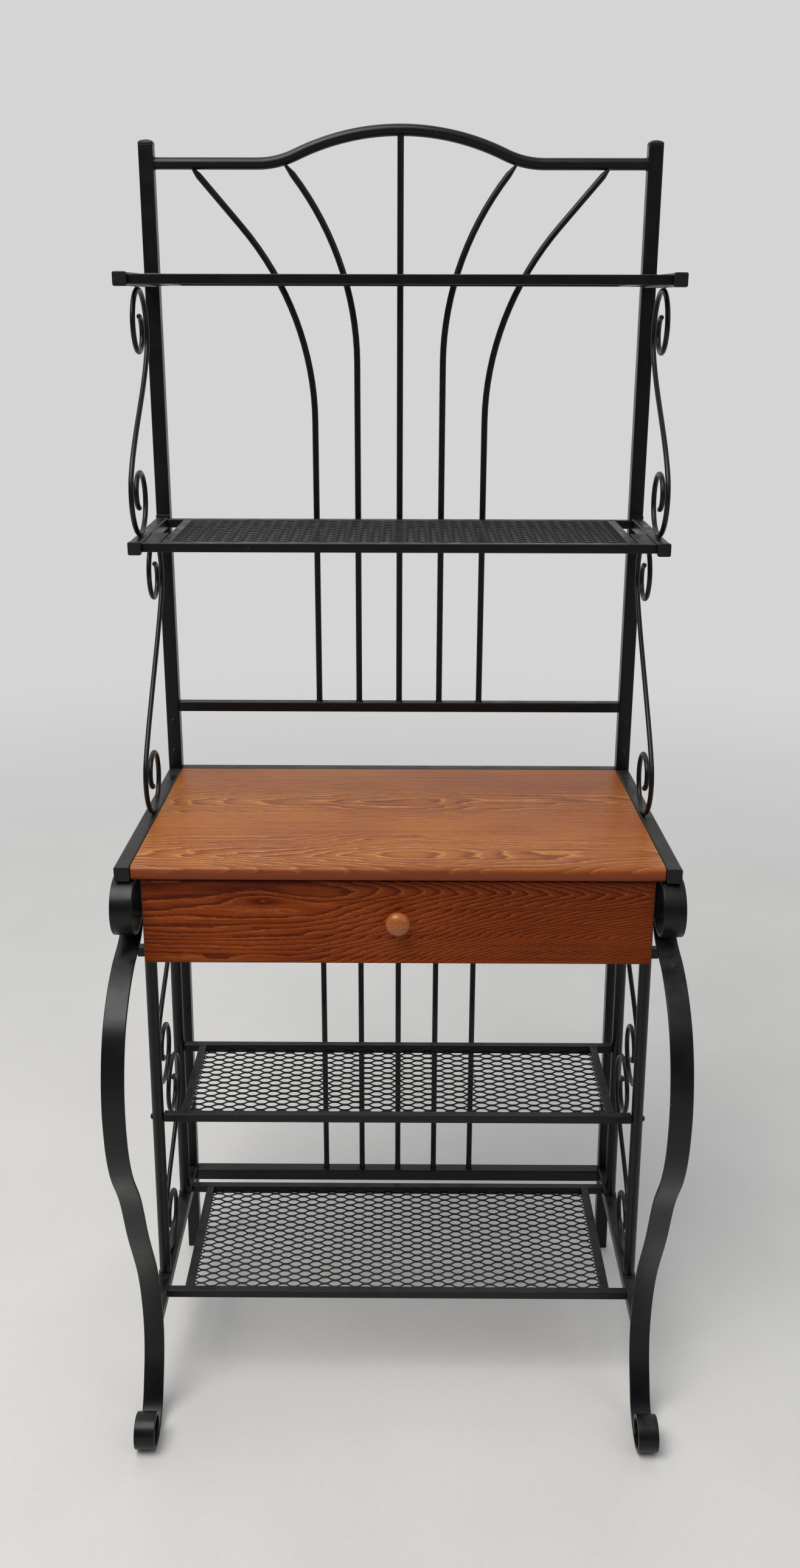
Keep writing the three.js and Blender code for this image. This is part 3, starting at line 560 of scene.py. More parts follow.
oak_knob = oak("oak_knob", beside("Z", KNOB_RINGS_FROM), beside("Y", face_low.y + 0.02),
               KNOB_RING, knob_slope, (rgb(164, 92, 38), rgb(150, 80, 30), rgb(176, 104, 48)),
               rgb(116, 58, 22), warp=0.004, gloss=0.26, line=0.5, shine=0.5)

# %% [markdown]
# ## Plywood
# The drawer box is plywood, which is thin layers glued crosswise. Its edges show them as
# stripes, and its broad faces show only one. So the stripes are a wave across the sheet's
# thickness: on a broad face the wave has one value all over, and no edge has to be told apart
# from a face.

# %% Plywood
PLY = 0.0026  # metres, one layer and half a wave


def plywood(name, thickness_axis, first):
    """Layers that begin at first, along the axis of the sheet's thickness."""
    made, tree = new_material(name)
    place = own_place(tree)
    depth = calc(tree, "ABSOLUTE", minus(tree, part_of(tree, place, thickness_axis), first))
    layer = calc(tree, "SINE", times(tree, depth, pi / PLY))
    along = {"X": (40, 6, 190), "Y": (6, 40, 190), "Z": (6, 190, 40)}[thickness_axis]
    veins = grain_noise(tree, place, 1.0, 4, along)
    tone = plus(tree, remap(tree, layer, -0.2, 0.5, 0.0, 0.35), times(tree, veins, 0.6))
    colour = blend(tree, remap(tree, tone, 0.1, 0.8), rgb(205, 172, 130), rgb(170, 130, 88))
    bump = add(tree, "ShaderNodeBump", Height=veins, Strength=0.2, Distance=0.0003)
    wood = add(tree, "ShaderNodeBsdfPrincipled", Base_Color=colour, Roughness=0.62,
               Normal=bump.outputs[0])
    add(tree, "ShaderNodeOutputMaterial", Surface=wood.outputs[0])
    print(name, "has", len(tree.nodes), "nodes")
    return made


ply_side = plywood("plywood_side", "X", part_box("drawer_side_right")[0].x)
ply_back = plywood("plywood_back", "Y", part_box("drawer_back")[0].y)
ply_bottom = plywood("plywood_bottom", "Z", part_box("drawer_bottom")[0].z)

# %% [markdown]
# ## Zinc
# The runners are zinc plated sheet. The rolls that formed them left fine lines along their
# length, which show as a roughness that changes across the sheet and hardly along it. Their
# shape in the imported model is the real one, so they need only this finish and no new mesh.

# %% Zinc
zinc, tree = new_material("zinc_plate")
place = own_place(tree)
brushed = grain_noise(tree, place, 1.0, 3, (900, 12, 900))
spangle = grain_noise(tree, place, 90, 2)
metal = add(tree, "ShaderNodeBsdfPrincipled", Metallic=1.0,
            Base_Color=blend(tree, spangle, rgb(168, 170, 172), rgb(196, 198, 198)),
            Roughness=plus(tree, times(tree, brushed, 0.3), 0.22))
add(tree, "ShaderNodeOutputMaterial", Surface=metal.outputs[0])
for side in ("left", "right"):
    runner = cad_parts[f"drawer_runner_{side}"]
    runner.data.materials.clear()
    runner.data.materials.append(zinc)
print("zinc on both runners")

# %% [markdown]
# ## Skins from rings
# Nearly every piece of the rack is one outline carried along a line: a square tube, a rod, a
# flat bar. A Blender curve with a bevel could draw such a piece, but it can only scale its
# outline as a whole, and a pinched rod gets thinner one way and wider the other. So one helper
# skins a row of rings and closes both ends, and the others only make the rings. Everything is
# worked out in millimetres, the maker's unit, and turned into metres when the mesh is made.

# %% Skins and outlines
MM = 0.001


def skin(sections):
    """Points and faces of a closed skin over rings of equally many points."""
    count = len(sections[0])
    points = [tuple(point) for ring in sections for point in ring]
    faces = [tuple(reversed(range(count)))]
    for i in range(len(sections) - 1):
        a, b = i * count, (i + 1) * count
        for j in range(count):
            k = (j + 1) % count
            faces.append((a + j, a + k, b + k, b + j))
    faces.append(tuple(range(len(points) - count, len(points))))
    return points, faces


def rounded(width, height, radius, steps=3):
    """The outline of a rectangle with rounded corners."""
    outline = []
    for cx, cy, start in ((1, 1, 0), (-1, 1, 90), (-1, -1, 180), (1, -1, 270)):
        for i in range(steps + 1):
            angle = radians(start + 90 * i / steps)
            outline.append((cx * (width / 2 - radius) + radius * cos(angle),
                            cy * (height / 2 - radius) + radius * sin(angle)))
    return outline


def circle(diameter, sides=20):
    """The outline of a round rod."""
    turn = [2 * pi * i / sides for i in range(sides)]
    return [(diameter / 2 * cos(a), diameter / 2 * sin(a)) for a in turn]


print("points round a tube:", len(rounded(20, 20, 2)), "and round a rod:", len(circle(9)))

# %% [markdown]
# ## Bent, straight and turned pieces
# The bent pieces are outlines swept along a line that lies in one plane. The straight ones are
# easier to give by two opposite corners, and a few smaller rings soften their ends, as a file
# breaks an edge. The round ones stand on an axis, like work on a lathe. Modifiers such as
# Bevel and Screw could do the last two, but rings keep the number of faces small and known.

# %% Sweep, block and lathe


def sweep(line, outline, side, shape=None):
    """Carries an outline along a line in one plane. side is the plane's normal; shape gives, for
    each place on the line, how much of the outline is kept along side and across it."""
    side = Vector(side)
    sections = []
    for i, point in enumerate(line):
        ahead = line[min(i + 1, len(line) - 1)] - line[max(i - 1, 0)]
        across = ahead.normalized().cross(side)
        keep = shape(i) if shape else (1, 1)
        sections.append([point + side * (a * keep[0]) + across * (b * keep[1]) for a, b in outline])
    return skin(sections)


def block(low, high, axis, corner, edge=0.0, steps=3):
    """A bar, board or tube between two corners, along one axis, with rounded corners. edge says
    how far its ends are softened."""
    u, v = [k for k in range(3) if k != axis]
    width, height = high[u] - low[u], high[v] - low[v]
    ends = [(low[axis], 0.0)]
    if edge:
        turns = [radians(90 * i / steps) for i in range(steps + 1)]
        ends = [(low[axis] + edge * (1 - cos(turn)), edge * (1 - sin(turn))) for turn in turns]
    ends += [(low[axis] + high[axis] - along, inset) for along, inset in reversed(ends)]
    sections = []
    for along, inset in ends:
        outline = rounded(width - 2 * inset, height - 2 * inset, max(corner - inset, 0.05), steps)
        ring = []
        for a, b in outline:
            point = [0, 0, 0]
            point[axis] = along
            point[u] = (low[u] + high[u]) / 2 + a
            point[v] = (low[v] + high[v]) / 2 + b
            ring.append(point)
        sections.append(ring)
    return skin(sections)


def turned(profile, base, axis, sides=40):
    """A round piece from pairs of radius and height, standing on base along an axis."""
    axis = Vector(axis)
    u = axis.orthogonal().normalized()
    v = axis.cross(u)
    sections = []
    for radius, height in profile:
        centre = Vector(base) + axis * height
        sections.append([centre + u * (radius * x) + v * (radius * y) for x, y in circle(2, sides)])
    return skin(sections)


print("faces of a tube with soft ends:", len(block((0, 0, 0), (20, 20, 90), 2, 2, 0.5)[1]))

# %% [markdown]
# ## Weld seams
# Welds hold the rack together. Each is a short seam or a ring, with lumps where the welder's
# hand paused. The lumps could be sculpted, but a thin ring of eight points is enough at this
# size, carried along the seam with a thickness that is drawn anew at each point. Every seam
# is given its seed, so it comes out the same each time, whatever is made before it.

# %% Weld seams


def bead(line, thickness, seed, closed=False):
    """A lumpy weld seam along any line."""
    dice = random.Random(seed)
    lift = Vector((0.35, 0.2, 0.91)).normalized()  # no seam runs in this direction
    last = len(line) - 1
    sections = []
    for i, point in enumerate(line):
        if closed:
            before, after = line[i - 1], line[(i + 1) % len(line)]
        else:
            before, after = line[max(i - 1, 0)], line[min(i + 1, last)]
        forward = (after - before).normalized()
        across = forward.cross(lift).normalized()
        up = across.cross(forward)
        size = thickness / 2 * dice.uniform(0.8, 1.2)
        if not closed and i in (0, last):
            size *= 0.3
        sections.append([point + across * (size * a) + up * (size * b) for a, b in circle(2, 8)])
    if closed:
        sections.append(sections[0])
    return skin(sections)


def ring_bead(centre, axis, radius, thickness, seed, steps=18):
    """A weld seam all the way round a rod or tube."""
    axis = Vector(axis)
    u = axis.orthogonal().normalized()
    v = axis.cross(u)
    turns = [2 * pi * i / steps for i in range(steps)]
    line = [Vector(centre) + u * (radius * cos(turn)) + v * (radius * sin(turn)) for turn in turns]
    return bead(line, thickness, seed, closed=True)


print("points in a ring of weld:", len(ring_bead((0, 0, 0), (0, 0, 1), 5, 2, 0)[0]))

# %% [markdown]
# ## Left and right
# Most pieces come in pairs. A left piece is made as the right one and mirrored point by point.
# A negative scale on the object would do that too, but it would stay on the piece and trouble
# whoever uses it next. Mirroring turns a shape inside out: its faces then look into it. In Edit
# Mode that is mended by hand with Recalculate Outside. Here the volume of each shape is added
# up from its faces, and where it is below zero the faces are turned over.

# %% Left and right
SIDES = (("left", -1), ("right", 1))


def mirrored(side):
    """Turns a piece that was made for the right side into the one for this side."""
    return lambda x, y, z: (side * x, y, z)


def facing_out(points, faces):
    """The faces of a closed shape, turned over if the shape is inside out."""
    start = Vector(points[0])
    places = [Vector(point) - start for point in points]
    volume = 0.0
    for face in faces:
        corner = places[face[0]]
        for second, third in zip(face[1:], face[2:]):
            volume += corner.dot(places[second].cross(places[third]))
    return faces if volume > 0 else [face[:1] + face[:0:-1] for face in faces]


cube_points, cube_faces = block((0, 0, 0), (1, 1, 1), 2, 0.1)
cube_points = [mirrored(-1)(*point) for point in cube_points]
print("a mirrored cube is turned over:", facing_out(cube_points, cube_faces) != cube_faces)

# %% [markdown]
# ## From shapes to pieces
# A finished piece is one mesh with its edges shaded sharp only where they are sharp. Flat
# faces between rounded corners would look pillowy, so a weighted normal modifier lets the
# large faces decide the shading. The same function says which body the piece moves with, which
# nodes it stands for and which material it wears, so all three are settled where it is made.

# %% Pieces
BOX_LOW, BOX_HIGH = cad_bounds
pieces = []


def inside(point):
    """Keeps a point within the box of the solids: a smooth bend may pass it by a hair."""
    return tuple(min(max(value, low), high) for value, low, high in zip(point, BOX_LOW, BOX_HIGH))


def piece(name, shapes, material, nodes=(), body="frame", bend=None, sharp=38):
    """Joins shapes into one mesh, in place of the nodes. bend moves every point, and edges
    with a larger angle than sharp stay sharp."""
    points, faces = [], []
    for shape_points, shape_faces in shapes:
        placed = [bend(*point) for point in shape_points] if bend else shape_points
        offset = len(points)
        points += placed
        faces += [tuple(index + offset for index in face) for face in facing_out(placed, shape_faces)]
    mesh = bpy.data.meshes.new(name)
    mesh.from_pydata([inside(MM * Vector(point)) for point in points], [], faces)
    mesh.validate()
    mesh.materials.append(material)
    mesh.shade_smooth()
    mesh.set_sharp_from_angle(angle=radians(sharp))
    made = bpy.data.objects.new(name, mesh)
    scene.collection.objects.link(made)
    even = made.modifiers.new("even_shading", "WEIGHTED_NORMAL")
    even.keep_sharp = True
    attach(made, body)
    if nodes:
        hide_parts(*nodes)
    pieces.append(name)
    return made


def node_box(name):
    """The low and the high corner of a node, in millimetres."""
    low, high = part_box(name)
    return [value / MM for value in low], [value / MM for value in high]


print("the upright is", round(node_box("upper_upright_right")[1][2], 1), "mm high without its plug")

# %% [markdown]
# ## The plan of the rack
# A few sizes say where the lines of the rack run. They are the maker's sizes, so they are
# written down once here. Places across the rack are measured from its middle, places to the
# front from the front face of the uprights, and heights from the floor. The gap is the hair
# of room that a weld fills between two pieces.

# %% Plan
GAP = 0.3
TUBE, TUBE_CORNER = 20.0, 2.4
SHELF_TUBE = 16.0
UPRIGHT_X = 344.0
UPRIGHT_TOP = 1764.0
WORKTOP = 876.0
RAIL_UNDER = WORKTOP - TUBE
WALL_Y = node_box("upper_upright_right")[0][1]
PANEL_Y = WALL_Y + TUBE / 2
TOP_SHELF, MID_SHELF = [node_box(f"{name}_shelf_rail_right")[0][2] + SHELF_TUBE
                        for name in ("top", "mid")]
LOWER_SHELF, BOTTOM_SHELF = [node_box(f"{name}_shelf_frame")[1][2] for name in ("lower", "bottom")]


def reach(distance):
    """The place on the Y axis of a distance in front of the uprights."""
    return WALL_Y - distance


def at_side(distance, height):
    """A point in the plane of the right side frame."""
    return Vector((UPRIGHT_X, reach(distance), height))


print("front face of the uprights at", round(WALL_Y, 2), "mm, shelves at",
      [round(height) for height in (TOP_SHELF, MID_SHELF, LOWER_SHELF, BOTTOM_SHELF)])

# %% [markdown]
# ## Out of square
# The lower frame stands wider at the floor than at the worktop, and the worktop is wider at
# its front than at the uprights. Each slanted piece could be turned by its own small angle,
# but then its ends would no longer meet the others. So all pieces are made square, and a bend
# then moves the points of each by the same rule.

# %% Bends
FOOT_SPREAD, LEG_SPREAD = 8.0, 4.0
SIDE_RAIL, TOE_OUT = 380.0, 8.0


def leaned(spread):
    """The lower frame stands wider at the floor than at the worktop by this much."""
    return lambda x, y, z: (x + (1 if x > 0 else -1) * spread * max(WORKTOP - z, 0) / WORKTOP, y, z)


def toed_out(x, y, z):
    """The worktop is wider at the front than at the uprights."""
    return (x + (1 if x > 0 else -1) * (WALL_Y - y) * TOE_OUT / SIDE_RAIL, y, z)


def both(first, second):
    """One bend after another."""
    return lambda x, y, z: second(*first(x, y, z))


print("an upright's foot stands at", leaned(FOOT_SPREAD)(UPRIGHT_X, 0, 0)[0], "mm")

# %% [markdown]
# ## Screws and plugs
# The screws have low domed heads, and the plugs are plastic caps with a thin rim and a
# cushion on top. Half a ball would be too high for either. The head is turned from a flattened
# arc. The cushion is a stack of squares that get smaller and rounder as they rise.

# %% Screw heads and plugs
PLUG_RIM, PLUG_DOME = 2.7, 4.3


def dome(centre, axis, diameter, height, rim=0.4):
    """A screw's low round head."""
    profile = [(diameter / 2, -rim), (diameter / 2, rim)]
    for angle in (12, 26, 40, 55, 70, 82):
        turn = radians(angle)
        profile.append((diameter / 2 * cos(turn), rim + (height - rim) * sin(turn)))
    profile.append((0.02, height))
    return turned(profile, centre, axis, 24)


def cushion(base):
    """The top of the plug in the right upright, from the height of its rim."""
    rings = []
    for angle in (0, 15, 30, 45, 60, 75, 88):
        turn = radians(angle)
        half = TUBE / 2 * cos(turn) ** 0.8
        corner = min(TUBE_CORNER + 5 * sin(turn), half * 0.98)
        height = base + PLUG_DOME * sin(turn)
        rings.append([(UPRIGHT_X + a, PANEL_Y + b, height) for a, b in rounded(2 * half, 2 * half, corner)])
    return skin(rings)


print("a plug stands", PLUG_RIM + PLUG_DOME, "mm out of its tube")

# %% [markdown]
# ## Uprights
# Each upright is a square tube with softly rounded corners. The upper tube slips over a stub
# of the lower one just above the worktop, where two screws hold it. The stub can't be seen, so
# it isn't made, and neither are the insides of the tubes: a plug, the other tube or the floor
# hides each open end.

# %% Uprights
SCREW_HEIGHTS = (905, 952)
SCREW_HEAD = (7.4, 2.0)  # diameter and height

for side, sign in SIDES:
    low, high = node_box("upper_upright_right")
    piece(f"upright_upper_{side}", [block(low, high, 2, TUBE_CORNER, 0.5)], black_steel,
          [f"upper_upright_{side}"], bend=mirrored(sign))
    screws = [dome((UPRIGHT_X, WALL_Y, height), (0, -1, 0), *SCREW_HEAD) for height in SCREW_HEIGHTS]
    piece(f"upright_screws_{side}", screws, black_bolt, bend=mirrored(sign))

    low, high = node_box("upright_cap_right")
    lip = high[2] - PLUG_RIM - PLUG_DOME
    rim = block((low[0], low[1], lip), (high[0], high[1], lip + PLUG_RIM), 2, TUBE_CORNER)
    piece(f"upright_plug_{side}", [rim, cushion(lip + PLUG_RIM)], black_cap,
          [f"upright_cap_{side}"], bend=mirrored(sign), sharp=50)

    low = (UPRIGHT_X - TUBE / 2, WALL_Y, 0)
    high = (UPRIGHT_X + TUBE / 2, WALL_Y + TUBE, WORKTOP - GAP)
    piece(f"upright_lower_{side}", [block(low, high, 2, TUBE_CORNER, 0.4)], black_steel,
          [f"lower_upright_{side}"], bend=both(leaned(FOOT_SPREAD), mirrored(sign)))
print("uprights:", len(pieces), "pieces so far")

# %% [markdown]
# ## The arch
# The top of the back panel is one round tube, bent into level shoulders and a crown. A bending
# machine makes arcs and straight lengths, so the line is worked out from arcs too: one for the
# crown, one the other way for each shoulder, and a straight run to the upright. A free curve
# would be quicker to draw, but it shows as soft where the real tube is crisp.

# %% Line of the arch
ARCH_TUBE = 15.8
ARCH_HALF_SPAN, ARCH_RISE, CROWN_RADIUS = 195.0, 42.5, 340.0
ARCH_DROP = 23.0
ARCH_END = UPRIGHT_TOP - ARCH_DROP


def arch_line(steps=14):
    """The middle line of the arch, from the left upright to the right one."""
    total = (ARCH_HALF_SPAN ** 2 + ARCH_RISE ** 2) / (2 * ARCH_RISE)
    shoulder = total - CROWN_RADIUS
    turn = asin(ARCH_HALF_SPAN / total)
    centre = ARCH_END + ARCH_RISE - CROWN_RADIUS
    half = [(CROWN_RADIUS * sin(turn * i / steps), centre + CROWN_RADIUS * cos(turn * i / steps))
            for i in range(steps + 1)]
    for i in range(1, steps + 1):
        angle = turn * (1 - i / steps)
        half.append((ARCH_HALF_SPAN - shoulder * sin(angle), ARCH_END + shoulder * (1 - cos(angle))))
    half.append((UPRIGHT_X - TUBE / 2, ARCH_END))
    whole = [(-x, z) for x, z in reversed(half[1:])] + half
    return [Vector((x, PANEL_Y, z)) for x, z in whole]


arch = arch_line()
print("crown of the arch at", round(max(point.z for point in arch), 1), "mm")

# %% [markdown]
# ## The rods of the back
# Five round rods rise from a square cross rail to the arch. The middle one is straight, and
# each of the others leaves its upright line in a wide bend and then runs straight on. Where a
# rod meets the arch isn't known beforehand: its straight run is lengthened step by step until
# its end lies on the arch. The fitter pinched the upper end of each bent rod into a small
# wedge before welding it, so the last stretch gets thinner one way and wider the other.

# %% Lines of the rods
ROD, ROD_PITCH = 9.0, 60.5
ROD_BEND_RADIUS, ROD_BEND = 398.0, radians(41)
WEDGE, WEDGE_WIDER, WEDGE_THINNER = 13.5, 0.35, 0.66
LAST_POINTS = (40, 22, 19, 16, 13, 10, 6.5)  # how far before the arch's middle line
CROSS_TOP = node_box("back_cross_rail")[1][2]


def arch_height(x):
    """The height of the arch's middle line over one place."""
    for a, b in zip(arch, arch[1:]):
        if a.x <= x <= b.x:
            return a.z + (b.z - a.z) * (x - a.x) / (b.x - a.x)
    return ARCH_END


def bent_rod_line(count, leave, steps=16):
    """A rod that many places from the middle, which begins to bend at the height leave."""
    start = count * ROD_PITCH
    line = [Vector((start, PANEL_Y, z)) for z in (CROSS_TOP - 0.5, 1150, leave - 80)]
    for i in range(steps + 1):
        angle = ROD_BEND * i / steps
        line.append(Vector((start + ROD_BEND_RADIUS * (1 - cos(angle)), PANEL_Y,
                            leave + ROD_BEND_RADIUS * sin(angle))))
    last, slope = line[-1], tan(ROD_BEND)
    climb = 0.0
    for _ in range(20):
        climb = arch_height(last.x + slope * climb) - last.z
    length = hypot(slope * climb, climb)
    for left in LAST_POINTS:
        if left < length:
            share = 1 - left / length
            line.append(Vector((last.x + slope * climb * share, PANEL_Y, last.z + climb * share)))
    return line


def pinch(line):
    """Keeps a rod round, but for its last stretch, which is flattened."""
    def shape(i):
        flat = max(0.0, 1 - (line[-1] - line[i]).length / WEDGE)
        return (1 + WEDGE_WIDER * flat, 1 - WEDGE_THINNER * flat)
    return shape


print("the outer rod ends", round(bent_rod_line(2, 1400.0)[-1].x), "mm from the middle")

# %% [markdown]
# ## The back panel
# The arch is welded between the uprights, and the rods stand in small rings of weld. The rings
# are part of the piece that they hold, so that no weld is a piece of its own.

# %% Arch, cross rails and rods
welds = [ring_bead((sign * (UPRIGHT_X - TUBE / 2 - 0.6), PANEL_Y, ARCH_END), (1, 0, 0), 8.1, 2.2, 3 + sign)
         for _, sign in SIDES]
piece("back_arch", [sweep(arch, circle(ARCH_TUBE, 28), (0, 1, 0))] + welds, black_steel, ["arch_rail"])
for name, node, corner in (("back_cross_rail_tube", "back_cross_rail", 1.8),
                           ("worktop_rear_tube", "worktop_rear_rail", TUBE_CORNER)):
    low, high = node_box(node)
    piece(name, [block(low, high, 0, corner)], black_steel, [node])

straight = [Vector((0, PANEL_Y, z)) for z in (CROSS_TOP - 0.5, 1300, arch_height(0) - 4)]
foot = ring_bead((0, PANEL_Y, CROSS_TOP + 0.4), (0, 0, 1), 4.9, 1.8, 11)
piece("back_rod_straight", [sweep(straight, circle(ROD), (0, 1, 0)), foot], black_steel,
      ["back_rod_middle"])
for count, which, leave in ((1, "inner", 1480.0), (2, "outer", 1400.0)):
    line = bent_rod_line(count, leave)
    rod = sweep(line, circle(ROD), (0, 1, 0), pinch(line))
    foot = ring_bead((line[0].x, PANEL_Y, CROSS_TOP + 0.4), (0, 0, 1), 4.9, 1.8, 20 + count)
    tip = ring_bead(line[-1] + Vector((1.6, 0, 1.2)), (0.6, 0, 0.8), 3.6, 2.6, 30 + count, 10)
    for side, sign in SIDES:
        piece(f"back_rod_{which}_bent_{side}", [rod, foot, tip], black_steel,
              [f"back_rod_{which}_{side}"], bend=mirrored(sign))
print("back panel:", len(pieces), "pieces so far")

# %% [markdown]
# ## The grille below the worktop
# Five more rods, all of them straight, stand on a square rail near the floor and are welded
# under the worktop's rear rail. Each foot has a small ring of weld. An Array modifier could
# repeat one rod, but then all five rings would have the same lumps.

# %% Lower grille
low, high = node_box("lower_back_grille")
rail_top = low[2] + TUBE
grille = [block(low, (high[0], high[1], rail_top), 0, TUBE_CORNER)]
for count in range(-2, 3):
    x = count * ROD_PITCH
    line = [Vector((x, PANEL_Y, z)) for z in (rail_top - 0.5, 500, RAIL_UNDER)]
    grille.append(sweep(line, circle(ROD), (0, 1, 0)))
    grille.append(ring_bead((x, PANEL_Y, rail_top + 0.4), (0, 0, 1), 4.9, 1.9, 40 + count))
piece("lower_grille", grille, black_steel, ["lower_back_grille"])
print("lower grille:", len(grille), "shapes in one piece")

# %% [markdown]
# ## Shelf frames
# Each shelf is a frame of solid square bar: two long bars and, a little in from their ends,
# two short ones, with a short seam of weld on each joint. The upper shelves also have a thin
# plate behind each front corner. The long bars' ends are softened, because they can be seen,
# and the short bars' ends run a little way into the long ones, because they can't.

# %% Shelf frames
BAR, BAR_CORNER, BAR_END = 12.0, 1.1, 0.6
END_INSET = 24.0
GUSSET_ACROSS, GUSSET_BACK, GUSSET_UNDER = 21.3, 74.0, 2.3

for name in ("top", "mid", "lower", "bottom"):
    low, high = node_box(f"{name}_shelf_frame")
    bars = [block(low, (high[0], low[1] + BAR, high[2]), 0, BAR_CORNER, BAR_END),
            block((low[0], high[1] - BAR, low[2]), high, 0, BAR_CORNER, BAR_END)]
    for _, sign in SIDES:
        outer = sign * (high[0] - END_INSET)
        x_low, x_high = sorted((outer, outer - sign * BAR))
        bars.append(block((x_low, low[1] + BAR - 0.6, low[2] + 0.15),
                          (x_high, high[1] - BAR + 0.6, high[2] - 0.15), 1, BAR_CORNER))
        for y in (low[1] + BAR, high[1] - BAR):
            seam = [Vector((x, y, high[2] - 0.5)) for x in (x_low + 1, x_low + 4, x_low + 8, x_high - 1)]
            bars.append(bead(seam, 1.6, int(y) + sign))
        if name in ("top", "mid"):
            x_low, x_high = sorted((sign * (high[0] - GAP), sign * (high[0] - GUSSET_ACROSS)))
            bars.append(block((x_low, low[1] + BAR / 2, high[2] - GUSSET_UNDER),
                              (x_high, low[1] + BAR + GUSSET_BACK, high[2] - GAP), 1, 0.6, 0.5))
    piece(f"{name}_shelf_bars", bars, black_steel, [f"{name}_shelf_frame"])
    print(name, "shelf frame:", len(bars), "shapes")

# %% [markdown]
# ## Side rails of the upper shelves
# The side rails are square tubes. A flat plate at the rear end lies against the upright, and a
# plastic plug closes the front end. The plug could be left to a change of colour on the tube,
# but it is a block of its own, because its rounder corners and deep soft edge catch the light
# where the tube's crisp end doesn't.

# %% Side rails and plugs
SHELF_RAIL = 218.0
half_tube = SHELF_TUBE / 2

for name, height in (("top", TOP_SHELF), ("mid", MID_SHELF)):
    plate_top = node_box(f"{name}_shelf_rail_right")[1][2]
    under = height - SHELF_TUBE
    tube = block((UPRIGHT_X - half_tube, reach(SHELF_RAIL), under),
                 (UPRIGHT_X + half_tube, reach(1), height), 1, 1.8)
    plate = block((UPRIGHT_X - TUBE / 2, reach(2.3), under),
                  (UPRIGHT_X + TUBE / 2, reach(GAP), plate_top), 2, 0.8, 1.2)
    low, high = node_box(f"{name}_shelf_cap_right")
    plug = block(low, (high[0], reach(SHELF_RAIL + GAP), high[2]), 1, 2.4, 1.4)
    for side, sign in SIDES:
        piece(f"{name}_side_tube_{side}", [tube, plate], black_steel,
              [f"{name}_shelf_rail_{side}"], bend=mirrored(sign))
        piece(f"{name}_side_plug_{side}", [plug], black_cap, [f"{name}_shelf_cap_{side}"],
              bend=mirrored(sign))
print("upper shelves:", len(pieces), "pieces so far")

# %% [markdown]
# ## Expanded metal
# The nets are expanded metal: a sheet is slit in staggered rows and pulled open, so each
# strand runs in waves and touches its neighbours where it was not cut. An image with holes
# could be laid on a flat sheet, but it would look flat from near by. So a row is one thin band
# that waves to and fro, and every second row waves the other way. The strands come out
# slightly twisted, which is why the sheet glitters when it is seen flat.

# %% Nets
LONG_PITCH, ROW_PITCH = 31.1, 7.1
STRAND, SHEET = 2.2, 1.2
TWIST = radians(24)
STEP = LONG_PITCH / 10


def wave(x):
    """Minus one to one, flat for a while at both ends, where two strands touch."""
    phase = (x / LONG_PITCH) % 1.0
    return max(-1.0, min(1.0, 1.45 * cos(2 * pi * phase)))


def net(name):
    """Fills a shelf with waving strands, and says how many rows of gaps there are."""
    low, high = node_box(f"{name}_shelf_net")
    middle = (low[2] + high[2]) / 2
    deep = high[1] - low[1]
    rows = round(deep / ROW_PITCH)
    pitch = deep / rows
    count = int((high[0] - low[0] + 3) / STEP) + 1
    first = -STEP * (count - 1) / 2
    across = Vector((0, cos(TWIST), sin(TWIST))) * (STRAND / 2)
    up = Vector((0, -sin(TWIST), cos(TWIST))) * (SHEET / 2)
    shapes = []
    for row in range(rows + 1):
        way = 1 if row % 2 else -1
        swing = (pitch / 2 - 0.35 * STRAND) * way
        sections = []
        for i in range(count):
            x = first + i * STEP
            centre = low[1] + row * pitch + swing * wave(x)
            centre = min(max(centre, low[1] + 0.2), high[1] - 0.2)
            rise = 0.25 * sin(TWIST * way * wave(x))
            place = Vector((x, centre, middle + rise))
            sections.append([place - across - up, place + across - up,
                             place + across + up, place - across + up])
        shapes.append(skin(sections))
    piece(f"{name}_expanded_net", shapes, black_net, [f"{name}_shelf_net"], sharp=50)
    return rows


print("net rows:", [net(name) for name in ("top", "mid", "lower", "bottom")])

# %% [markdown]
# ## The line of a scroll
# Every side has four S scrolls of thin round rod. A scroll is two equal spirals joined by a
# slack stroke: turned by half a turn it looks the same. It could be drawn by hand as a Bezier
# curve, but a spiral wants many handles. So the lower spiral is worked out from its radius,
# which grows evenly with the angle, and is turned round the middle for the upper one. Only the
# stroke between them is a Bezier, whose handles leave each spiral in its own direction.

# %% Line of a scroll
SCROLL_ROD = 7.0
CURL, CURL_INNER = 56.0, 14.0
CURL_TURN, CURL_START = 470.0, 30.0
HANDLE = 62.0


def bezier(a, b, c, d, steps):
    """The points between a and d of a Bezier curve with the handles b and c."""
    line = []
    for i in range(1, steps):
        t = i / steps
        line.append(a * (1 - t) ** 3 + b * (3 * t * (1 - t) ** 2) + c * (3 * t * t * (1 - t)) + d * t ** 3)
    return line


